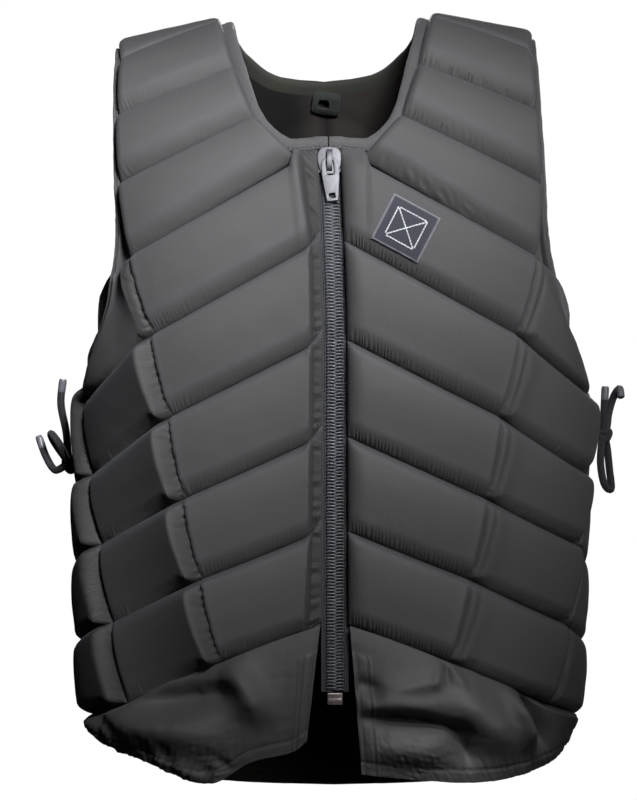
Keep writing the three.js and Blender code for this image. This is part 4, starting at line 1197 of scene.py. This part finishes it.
# frame on the centre front at a height: position, and the directions right, up and out
def frontFrame(height, rise):
    station = spotAtAngle(height, 0.0)[1]
    middle = np.float64(0)
    up = unit(torso(station + stationStep, middle) - torso(station - stationStep, middle))
    out = normalAt(station, middle)
    origin = torso(station, middle) + out * rise
    origin = origin + [body["across"] * smoothStep(height, *body["acrossOver"]), 0, 0]
    matrix = np.eye(4)
    matrix[:3, 0], matrix[:3, 1], matrix[:3, 2], matrix[:3, 3] = (1, 0, 0), up, out, origin
    return matrix


def moved(shape, matrix):
    points, faces = shape
    return points @ matrix[:3, :3].T + matrix[:3, 3], faces


# flat plate with rounded edges from outlines in its own plane, the first solid and the rest holes
def plate(outlines, low, high, edge=0.3):
    curve = bpy.data.curves.new("plate", "CURVE")
    curve.dimensions = "2D"
    curve.fill_mode = "BOTH"
    curve.extrude = max((high - low) / 2 - edge, 0.01)
    curve.bevel_depth = edge
    curve.bevel_resolution = 2
    curve.offset = -edge
    for outline in outlines:
        spline = curve.splines.new("POLY")
        spline.points.add(len(outline) - 1)
        xyzw = np.column_stack([outline, np.zeros(len(outline)), np.ones(len(outline))])
        spline.points.foreach_set("co", xyzw.ravel())
        spline.use_cyclic_u = True
    holder = bpy.data.objects.new("plate", curve)
    mesh = holder.to_mesh()
    points = np.empty(3 * len(mesh.vertices))
    mesh.vertices.foreach_get("co", points)
    points = points.reshape(-1, 3) + [0, 0, (low + high) / 2]
    faces = {}
    for p in mesh.polygons:
        faces.setdefault(len(p.vertices), []).append(list(p.vertices))
    faces = [np.array(f) for f in faces.values()]
    holder.to_mesh_clear()
    bpy.data.objects.remove(holder)
    bpy.data.curves.remove(curve)
    # the rims and the faces of a filled curve have points of their own, so equal ones are merged
    _, first, same = np.unique(np.round(points, 4), axis=0, return_index=True, return_inverse=True)
    return points[first], [same.reshape(-1)[f] for f in faces]


# closed outline with its corners rounded: three points of a parabola at each corner
def roundCorners(corners, radius):
    p = np.asarray(corners, float)
    before, after = np.roll(p, 1, 0) - p, np.roll(p, -1, 0) - p
    reach = lambda d: p + d / np.linalg.norm(d, axis=1, keepdims=True) * np.minimum(
        radius, 0.45 * np.linalg.norm(d, axis=1))[:, None]
    a, b = reach(before), reach(after)
    t = np.linspace(0, 1, 6)[None, :, None]
    arc = a[:, None] * (1 - t) ** 2 + 2 * p[:, None] * t * (1 - t) + b[:, None] * t**2
    return arc.reshape(-1, 2)


def mirrored(rows):
    right = np.asarray(rows, float)
    return np.concatenate([right, right[::-1] * [-1, 1]])


def ring(x, y, halfWidth, halfHeight, radius):
    box = np.array([[-1, -1], [1, -1], [1, 1], [-1, 1]]) * [halfWidth, halfHeight] + [x, y]
    return roundCorners(box, radius)


# tube: a round section carried along a path, turned from the path's flattest direction
def tube(path, radius, sides=10, ends=0.35):
    forward = unit(np.gradient(path, axis=0))
    flat = np.linalg.svd(path - path.mean(0))[2][-1]
    side = unit(np.cross(forward, flat))
    lift = np.cross(side, forward)
    a = np.arange(sides) * 2 * np.pi / sides
    r = np.broadcast_to(radius, len(path)).copy()
    r[[0, -1]] *= ends
    around = np.cos(a)[None, :, None] * side[:, None] + np.sin(a)[None, :, None] * lift[:, None]
    return loft(path[:, None] + around * r[:, None, None])


def buildZip():
    z = zipper
    heights = np.linspace(z["top"], z["foot"], 150)
    centre = spotAtAngle(heights, np.zeros(len(heights)))
    base = surfaceAt(centre)
    out = outwardAt(centre)
    run = along(base, 0)
    rows = []
    for name, side in (("right", -1), ("left", 1)):
        # tape: a thin ribbed strip from under the coil to the front's edge
        x = np.linspace(0.5, z["half"], 26)[None, :]
        rib = z["rib"] * np.sin(2 * np.pi * x / z["ribPitch"])
        rib = rib + z["crossRib"] * np.sin(2 * np.pi * run[:, None] / z["crossPitch"])
        across = np.array([1, 0, 0])
        face = lambda rise: base[:, None] + across * x[..., None] + out[:, None] * rise[..., None]
        drop = -z["curve"] * x**2  # the front curves away from the centre
        upper, lower = face(z["tapeTop"] + rib + drop), face(z["tapeFoot"] + drop + 0 * rib)
        uv = np.stack(np.broadcast_arrays(x, run[:, None]), -1)
        piece = wallPiece(f"zip_tape_{name}_cloth", hung(upper, side), hung(lower, side),
                          finishes["zipTape"], "tape", uv)
        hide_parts(f"zip_tape_{name}")
        # coil: one wire wound flat, half a turn out of step with the other side
        start, end = np.interp([-z["slider"] + 3, -z["foot"]], -heights, run)
        turns = int((end - start) / z["pitch"])
        s = np.linspace(0, turns, turns * 14 + 1)
        phase = 2 * np.pi * (s + (0.5 if side > 0 else 0))
        travel = start + z["pitch"] * (s + 0.16 * np.sin(2 * phase))
        at = lambda values: np.stack([np.interp(travel, run, values[:, k]) for k in range(3)], 1)
        middle, half = (z["coilIn"] + z["coilOut"]) / 2, (z["coilOut"] - z["coilIn"]) / 2
        squash = lambda w: np.sign(w) * np.abs(w) ** 0.8
        path = at(base) + at(out) * (z["coilRise"] + z["coilDepth"] * squash(np.sin(phase)))[:, None]
        path[:, 0] += middle - half * squash(np.cos(phase))
        forward = unit(np.gradient(path, axis=0))
        lift = unit(np.cross(forward, np.gradient(forward, axis=0)))
        aside = np.cross(lift, forward)
        a = np.arange(6) * np.pi / 3
        around = np.cos(a)[None, :, None] * lift[:, None] + np.sin(a)[None, :, None] * aside[:, None]
        rings = hung(path[:, None] + around * z["wire"], side)
        newPiece(f"zip_coil_{name}", loft(rings), finishes["coil"], "tape",
                 np.repeat(np.stack([s, s], 1), 6, 0), sharp=80)
        for x, rise in z["stitches"]:
            line = base[3:-2] + across * x + out[3:-2] * (z["tapeTop"] + rise)
            rows.append(stitchRow(hung(line, side), out[3:-2], zipThread))
    buildStitches("zip_stitches", rows, slot="tape")

    # slider: two plates on a post, guide flanges, and the bridge that the pull hangs on
    at = frontFrame(z["slider"], 0)
    upper = roundCorners(mirrored([[6.4, -11], [8.9, -2], [9.5, 4], [7.6, 9], [4.2, 11]]), 2.2)
    under = roundCorners(mirrored([[5.4, -9.6], [7.4, -1], [7.6, 5], [5.6, 8.6], [3.4, 9.8]]), 1.6)
    t = np.linspace(0, np.pi, 24)
    bend = lambda wide, high: np.stack([wide * np.cos(t), 5.2 + high * np.sin(t) ** 0.7], 1)
    arch = np.concatenate([bend(-8.6, 5.6), bend(6.5, 3.7)])
    upright = np.array([[0, 0, 1, 0], [1, 0, 0, 0], [0, 1, 0, 0], [0, 0, 0, 1.0]])
    flange = ring(0, -2, 0.75, 7, 0.6)
    sides = [np.array(Matrix.Translation((x, 0, 0))) for x in (7.6, -7.6)]
    bodies = [
        plate([upper], 3.7, 5.9, 0.7),
        plate([under], -3.2, -1.8, 0.4),
        *[moved(plate([flange], 0.6, 4.2, 0.2), place) for place in sides],
        plate([ring(0, 6, 1.3, 2.5, 0.5)], -2.4, 4.2, 0.2),
        moved(plate([arch], -2.2, 2.2, 0.5), upright),
    ]
    piece = newPiece("slider_body", moved(joined(bodies), at), finishes["steel"], "hardware", sharp=40)
    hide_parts("zip_slider")

    tab = roundCorners(mirrored([[4.1, -32.5], [4.6, -30.5], [6.7, -12], [6.6, -3], [5.0, 1.4]]), 1.6)
    eye = ring(0, -6.3, 3.0, 5.9, 2.4)
    slot = ring(0, -28.3, 2.3, 1.9, 0.5)
    bar = np.linspace(-5, 5, 12)[:, None] * [1, 0, 0]
    bodies = [plate([tab, eye, slot], -0.9, 0.9, 0.4), tube(bar, 1.0, 12, 0.7)]
    lean, tilt = np.radians(z["pullLean"]), np.radians(z["pullTilt"])
    turn = np.array(Matrix.Rotation(tilt, 4, "X") @ Matrix.Rotation(lean, 4, "Z"))
    shape = moved(joined(bodies), frontFrame(z["slider"], z["pullAxis"]) @ turn)
    piece = newPiece("pull_tab", shape, finishes["steel"], "hardware", rides="pull", sharp=40)
    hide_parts("zip_pull")

    # box at the foot: a folded shell with a band pressed across it
    bodies = [
        plate([ring(0, 0, 5.8, 4.5, 1.3)], -2, 3.0, 0.6),
        plate([ring(0, -1.2, 5.2, 1.6, 0.8)], 2.6, 3.5, 0.35),
    ]
    piece = newPiece("box_metal", moved(joined(bodies), frontFrame(z["foot"] - 5.2, 0)), finishes["box"],
                     "hardware", sharp=40)
    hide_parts("zip_box")


buildZip()
print("zip")


# laces: crossed strands up each side opening, tied off in a knot with a bow and two ends
lace = dict(
    radius=3.1, top=-300, step=41, crossings=5, seat=0.9, over=5.8, under=0.6, frontGirth=95, backGirth=109.5)
tie = dict(wide=4.4, high=5.2, bend=1.6, thick=0.95, tilts=(0.5, -0.9))
web = dict(width=8, half=9, thick=1, seat=0.5, lift=6.2, bow=1.1)
laceRuns = dict(
    right=dict(
        side=-1, knot=(211, 30, -326),
        upperEnd=[(213, 31, -318), (215, 34, -300), (219, 33, -278), (217, 30, -258)],
        outerEnd=[(216, 30, -328), (224, 34, -331), (232, 42, -320), (238, 46, -304)],
        bow=[(214, 24, -322), (219, 18, -310), (226, 24, -302), (225, 35, -308), (217, 36, -320)],
    ),
    left=dict(
        side=1, knot=(216, 30, -303),
        upperEnd=[(216, 28, -296), (216, 26, -284), (217, 26, -264)],
        outerEnd=[(219, 34, -297), (221, 38, -285), (225, 38, -272), (229, 34, -266), (230, 30, -273)],
        bow=[(214, 26, -310), (213, 24, -326), (216, 25, -342), (222, 30, -346),
             (221, 34, -330), (219, 34, -312)],
    ),
)
aglet = dict(length=13, radius=3.2)


def smoothPath(points, perSpan):
    p = np.asarray(points, float)
    return catmull(p, np.linspace(0, len(p) - 1, (len(p) - 1) * perSpan + 1))


# strand that zigzags up the opening and lifts over or under the other at each crossing
def strand(startsFront, lift):
    k = np.arange(lace["crossings"] + 1)
    height = lace["top"] - lace["step"] * (lace["crossings"] - k)
    girth = np.where((k % 2 == 0) == startsFront, lace["frontGirth"], lace["backGirth"])
    turns = skin(spotAtAngle(height, girth), lace["seat"] + lace["radius"])
    middle = 0.5 * (lace["frontGirth"] + lace["backGirth"])
    cross = skin(spotAtAngle(height[:-1] + lace["step"] / 2, middle), lace["seat"] + lace["radius"] + lift)
    return np.stack([turns[:-1], cross], 1).reshape(-1, 3), turns


def laceUv(path, sides=10):
    run = along(path, 0)
    a = np.arange(sides) / sides * 2 * np.pi * lace["radius"]
    return np.stack(np.broadcast_arrays(run[:, None], a[None]), -1).reshape(-1, 2)


def buildLaces():
    for name, run in laceRuns.items():
        side = run["side"]
        knot = np.array(run["knot"], float)
        paths, loops = [], []
        for startsFront, lift in ((True, lace["over"]), (False, lace["under"])):
            points, turns = strand(startsFront, lift)
            paths.append(hung(smoothPath(np.concatenate([points, turns[-1:], knot[None]]), 10), side))
            loops.append(turns)
        paths.append(hung(smoothPath(np.stack([loops[0][0], loops[1][0]]), 12), side))
        bodies = [tube(path, lace["radius"]) for path in paths]
        # knot: two turns of the lace drawn tight round one another
        t = np.linspace(0, 2 * np.pi, 40)
        for tilt in tie["tilts"]:
            height = tie["high"] * np.sin(t) * np.sin(tilt) + tie["bend"] * np.cos(2 * t)
            wrap = np.stack([tie["wide"] * np.cos(t), tie["wide"] * np.sin(t) * np.cos(tilt), height], 1)
            paths.append(hung(knot + wrap, side))
            bodies.append(tube(paths[-1], tie["thick"] * lace["radius"], ends=1))
        uv = np.concatenate([laceUv(path) for path in paths])
        piece = newPiece(f"lacing_{name}", joined(bodies), finishes["lace"], "lace", uv, sharp=80)
        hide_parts(f"lace_{name}")
        for part in ("upperEnd", "outerEnd", "bow"):
            closing = [knot] if part == "bow" else []
            path = hung(smoothPath([knot, *run[part], *closing], 12), side)
            title = dict(upperEnd="lace_end_upper", outerEnd="lace_end_outer", bow="lace_bow")[part]
            cord = newPiece(f"{title}_{name}", tube(path, lace["radius"]), finishes["lace"], "lace",
                            laceUv(path), sharp=80)
            extra = []
            if part != "bow":
                back = along(path[::-1], 0) < aglet["length"]
                tip = path[::-1][back]
                shape = tube(tip, aglet["radius"], 12, 0.8)
                extra = [newPiece(f"aglet_{part[:5]}_{name}", shape, finishes["aglet"], "lace", sharp=60)]
        # webbing loops that the lace runs through, sewn to the panel edges
        webs, maps = [], []
        for turns, startsFront in zip(loops, (True, False)):
            for k, p in enumerate(turns):
                front = (k % 2 == 0) == startsFront
                girth, bow = (lace["frontGirth"], -web["bow"]) if front else (lace["backGirth"], web["bow"])
                t = np.linspace(-1, 1, 15)
                spots = spotAtAngle(np.full(15, p[2]), girth + bow * (1 - t**2))
                strip = skin(spots, web["seat"] + web["lift"] * np.sqrt(np.clip(1 - t**2, 0, 1)))
                wide = np.linspace(-0.5, 0.5, 5)[None, :, None] * [0, 0, web["width"]]
                outer = strip[:, None] + wide
                inner = outer - outwardAt(spots)[:, None] * web["thick"]
                webs.append(slab(hung(outer, side), hung(inner, side)))
                m = np.stack(np.broadcast_arrays(t[:, None] * web["half"], wide[..., 2]), -1).reshape(-1, 2)
                maps.append(np.concatenate([m, m]))
        newPiece(f"lace_loops_{name}", joined(webs), finishes["tape"], "tape", np.concatenate(maps))


buildLaces()
print("laces")


# patch on the left chest and the loop inside the back neck
patch = dict(
    size=39, x=55, z=-146.5, turn=-29, thick=1.2, under=0.6, border=1.5, piping=0.55, stitchIn=7.5,
    threadRise=0.25)
patchThread = dict(pitch=2.5, length=2.4, radius=0.62)
loop = dict(
    z=-31, halfWidth=12, halfHeight=9, corner=5, hole=5, holeHeight=3, holeCorner=2.5, holeX=-2, thick=1.6,
    edge=0.5, turn=-8, bow=2.5, behind=2.9)


# points moved out to a block's face: the mean depth of its nearest places, weighted by nearness
def restOn(face, points):
    flat, places = face.reshape(-1, 3), points.reshape(-1, 3)
    away = ((places[:, None, [0, 2]] - flat[None, :, [0, 2]]) ** 2).sum(-1)
    near = np.argpartition(away, 6, axis=1)[:, :6]
    weight = 1 / (np.take_along_axis(away, near, 1) + 0.05)
    depth = (flat[near, 1] * weight).sum(1) / weight.sum(1)
    return np.column_stack([places[:, 0], depth, places[:, 2]]).reshape(points.shape)


# places in the patch's own plane, laid on the block under it: points and outward directions
def onPatch(u, v):
    turn = np.radians(patch["turn"])
    x = patch["x"] + u * np.cos(turn) - v * np.sin(turn)
    height = patch["z"] + u * np.sin(turn) + v * np.cos(turn)
    spots = spotAtX(height, x)
    return restOn(chestFaces["chest_left_1"], hung(surfaceAt(spots))), outwardAt(spots)


def buildPatch():
    p = patch
    t = np.linspace(-0.5, 0.5, 41) * p["size"]
    u, v = np.meshgrid(t, -t)
    rest, normal = onPatch(u, v)
    inset = p["size"] / 2 - np.maximum(np.abs(u), np.abs(v))
    border = 1 - smoothStep(inset, p["border"] - 0.5, p["border"] + 0.2)
    rise = p["thick"] + p["piping"] * border * roundOff(inset + 0.05, 1.0)
    rise = rise - 0.5 * (1 - roundOff(inset + 0.1, 0.8))
    outer, inner = rest + normal * rise[..., None], rest - normal * p["under"]
    uv = np.stack([u, v], -1)
    piece = wallPiece("patch_cloth", outer, inner, finishes["patch"], "patch", uv, dict(rim=border))
    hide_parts("badge")
    # sewn on with a square and a cross of pale thread
    s = np.linspace(-1, 1, 40) * (p["size"] / 2 - p["stitchIn"])
    edge = np.full(len(s), s[-1])
    rows = []
    for a, b in ((s, s), (s, -s), (s, edge), (s, -edge), (edge, s), (-edge, s)):
        rest, normal = onPatch(a, b)
        rows.append(stitchRow(rest + normal * (p["thick"] + p["threadRise"]), normal, patchThread))
    buildStitches("patch_stitches", rows, "paleThread", "patch")


def buildLoop():
    outline = ring(0, 0, loop["halfWidth"], loop["halfHeight"], loop["corner"])
    hole = ring(loop["holeX"], 0, loop["hole"], loop["holeHeight"], loop["holeCorner"])
    flat, faces = plate([outline, hole], 0, loop["thick"], loop["edge"])
    turn = np.radians(loop["turn"])
    x = flat[:, 0] * np.cos(turn) - flat[:, 1] * np.sin(turn)
    z = flat[:, 0] * np.sin(turn) + flat[:, 1] * np.cos(turn) + loop["z"]
    spots = spotAtX(z, np.abs(x), True)
    # the ribbon bows out between its two sewn ends
    bow = loop["bow"] * (1 - (flat[:, 1] / loop["halfHeight"]) ** 2)
    points = skin(spots, -loop["behind"] - flat[:, 2] - bow)
    points[:, 0] *= np.sign(x)
    piece = newPiece("loop_webbing", (hung(points), faces), finishes["loop"], "tape", flat[:, :2])
    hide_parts("hang_loop")


buildPatch()
buildLoop()
print("patch and loop")


# seams beside the zip, down the rib columns and along the flanks: how far each thread lies from its
# seam and stands off the torso
seamRows = dict(top=-92, foot=-442, zipIn=1.8, zipRise=5.7, chestRise=5.2, ribRise=5.0, aside=0.55)


def buildSeamStitches():
    r = seamRows
    heights = np.linspace(r["top"], r["foot"], 260)
    lines = [(spotAtX(heights, np.full(len(heights), frontEdge + r["zipIn"])), r["zipRise"])]
    for seam, rise in ((chest[:, 1], r["chestRise"]), (ribs[1:, 1], r["ribRise"])):
        at = np.linspace(0, len(seam) - 1, 240)
        spots = np.stack([np.interp(at, np.arange(len(seam)), seam[:, k]) for k in (0, 1)], 1)
        lines.append((spots + [r["aside"], 0], rise))
    rows = []
    for look in sideLook.values():
        for spots, rise in lines:
            turned = outwardAt(spots) * [look["side"], 1, 1]
            rows.append(stitchRow(hung(skin(spots, rise), look["side"]), turned))
    buildStitches("seam_stitches", rows)


buildSeamStitches()
print("stitches")


# floor that is white where it is seen, lamps in front as in the photograph, and lamps behind for the back
stage = dict(floor=-760, half=900, paper=0.03, glow=0.93, sky=0.02)


def buildStage():
    x, y = np.meshgrid([-1, 1], [-1, 1])
    grid = np.stack([x * stage["half"], y * stage["half"], 0 * x + stage["floor"]], -1) * mm
    mesh = bpy.data.meshes.new("floor")
    mesh.from_pydata(grid.reshape(-1, 3).tolist(), [], gridFaces(2, 2).tolist())
    material, tree, shader = newMaterial("paper")
    shader.inputs["Base Color"].default_value = (*[stage["paper"]] * 3, 1)
    shader.inputs["Roughness"].default_value = 0.9
    shader.inputs["Specular IOR Level"].default_value = 0
    shader.inputs["Emission Color"].default_value = (1, 1, 1, 1)
    seen = tree.nodes.new("ShaderNodeLightPath").outputs["Is Camera Ray"]
    tree.links.new(calc(tree, "MULTIPLY", seen, stage["glow"]), shader.inputs["Emission Strength"])
    mesh.materials.append(material)
    floor = bpy.data.objects.new("floor", mesh)
    scene.collection.objects.link(floor)
    floor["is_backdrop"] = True


lights = [
    dict(name="key", place=(0.36, -1.74, 0.74), aim=(-0.14, -0.1, -0.08), size=0.6, spread=25, power=2.85,
         colour=(0.97, 0.98, 1)),
    dict(name="fill", place=(1.7, -1.9, 0.3), aim=(0.2, -0.05, -0.16), size=0.5, spread=25, power=0.35,
         colour=(1, 0.99, 0.97)),
    dict(name="behindRight", place=(-0.35, 2.1, 0.3), aim=(0, 0.05, -0.27), size=0.8, spread=60, power=3.0,
         colour=(1, 1, 1)),
    dict(name="behindLeft", place=(0.45, 2.1, 0.4), aim=(0, 0.05, -0.27), size=0.8, spread=60, power=3.4,
         colour=(1, 1, 1)),
    dict(name="low", place=(0.15, -1.5, 0.9), aim=(0.09, -0.1, -0.59), size=0.1, spread=5.4, power=0.048,
         colour=(0.97, 0.98, 1)),
]


def buildLights():
    for lamp in lights:
        data = bpy.data.lights.new(lamp["name"], "AREA")
        data.shape = "DISK"
        data.size = lamp["size"]
        data.spread = np.radians(lamp["spread"])
        data.energy = lamp["power"]
        data.color = lamp["colour"]
        holder = bpy.data.objects.new(lamp["name"], data)
        eye, aim = np.array(lamp["place"]), np.array(lamp["aim"])
        back = unit(eye - aim)
        right = unit(np.cross([0, 0, 1.0], back))
        holder.matrix_world = Matrix([
            [*column, where] for column, where in zip(np.stack([right, np.cross(back, right), back], 1), eye)
        ] + [[0, 0, 0, 1]])
        scene.collection.objects.link(holder)
    world = bpy.data.worlds.new("studio")
    world.use_nodes = True
    # white where it is seen, and dim where it lights the vest
    tree = world.node_tree
    sky = tree.nodes["Background"]
    seen = tree.nodes.new("ShaderNodeLightPath").outputs["Is Camera Ray"]
    tree.links.new(calc(tree, "ADD", seen, stage["sky"]), sky.inputs["Strength"])
    sky.inputs["Color"].default_value = (1, 1, 1, 1)
    scene.world = world
    scene.view_settings.view_transform = "Standard"


buildStage()
buildLights()

seenBox = [list(corner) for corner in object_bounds()]
print("size", seenBox)
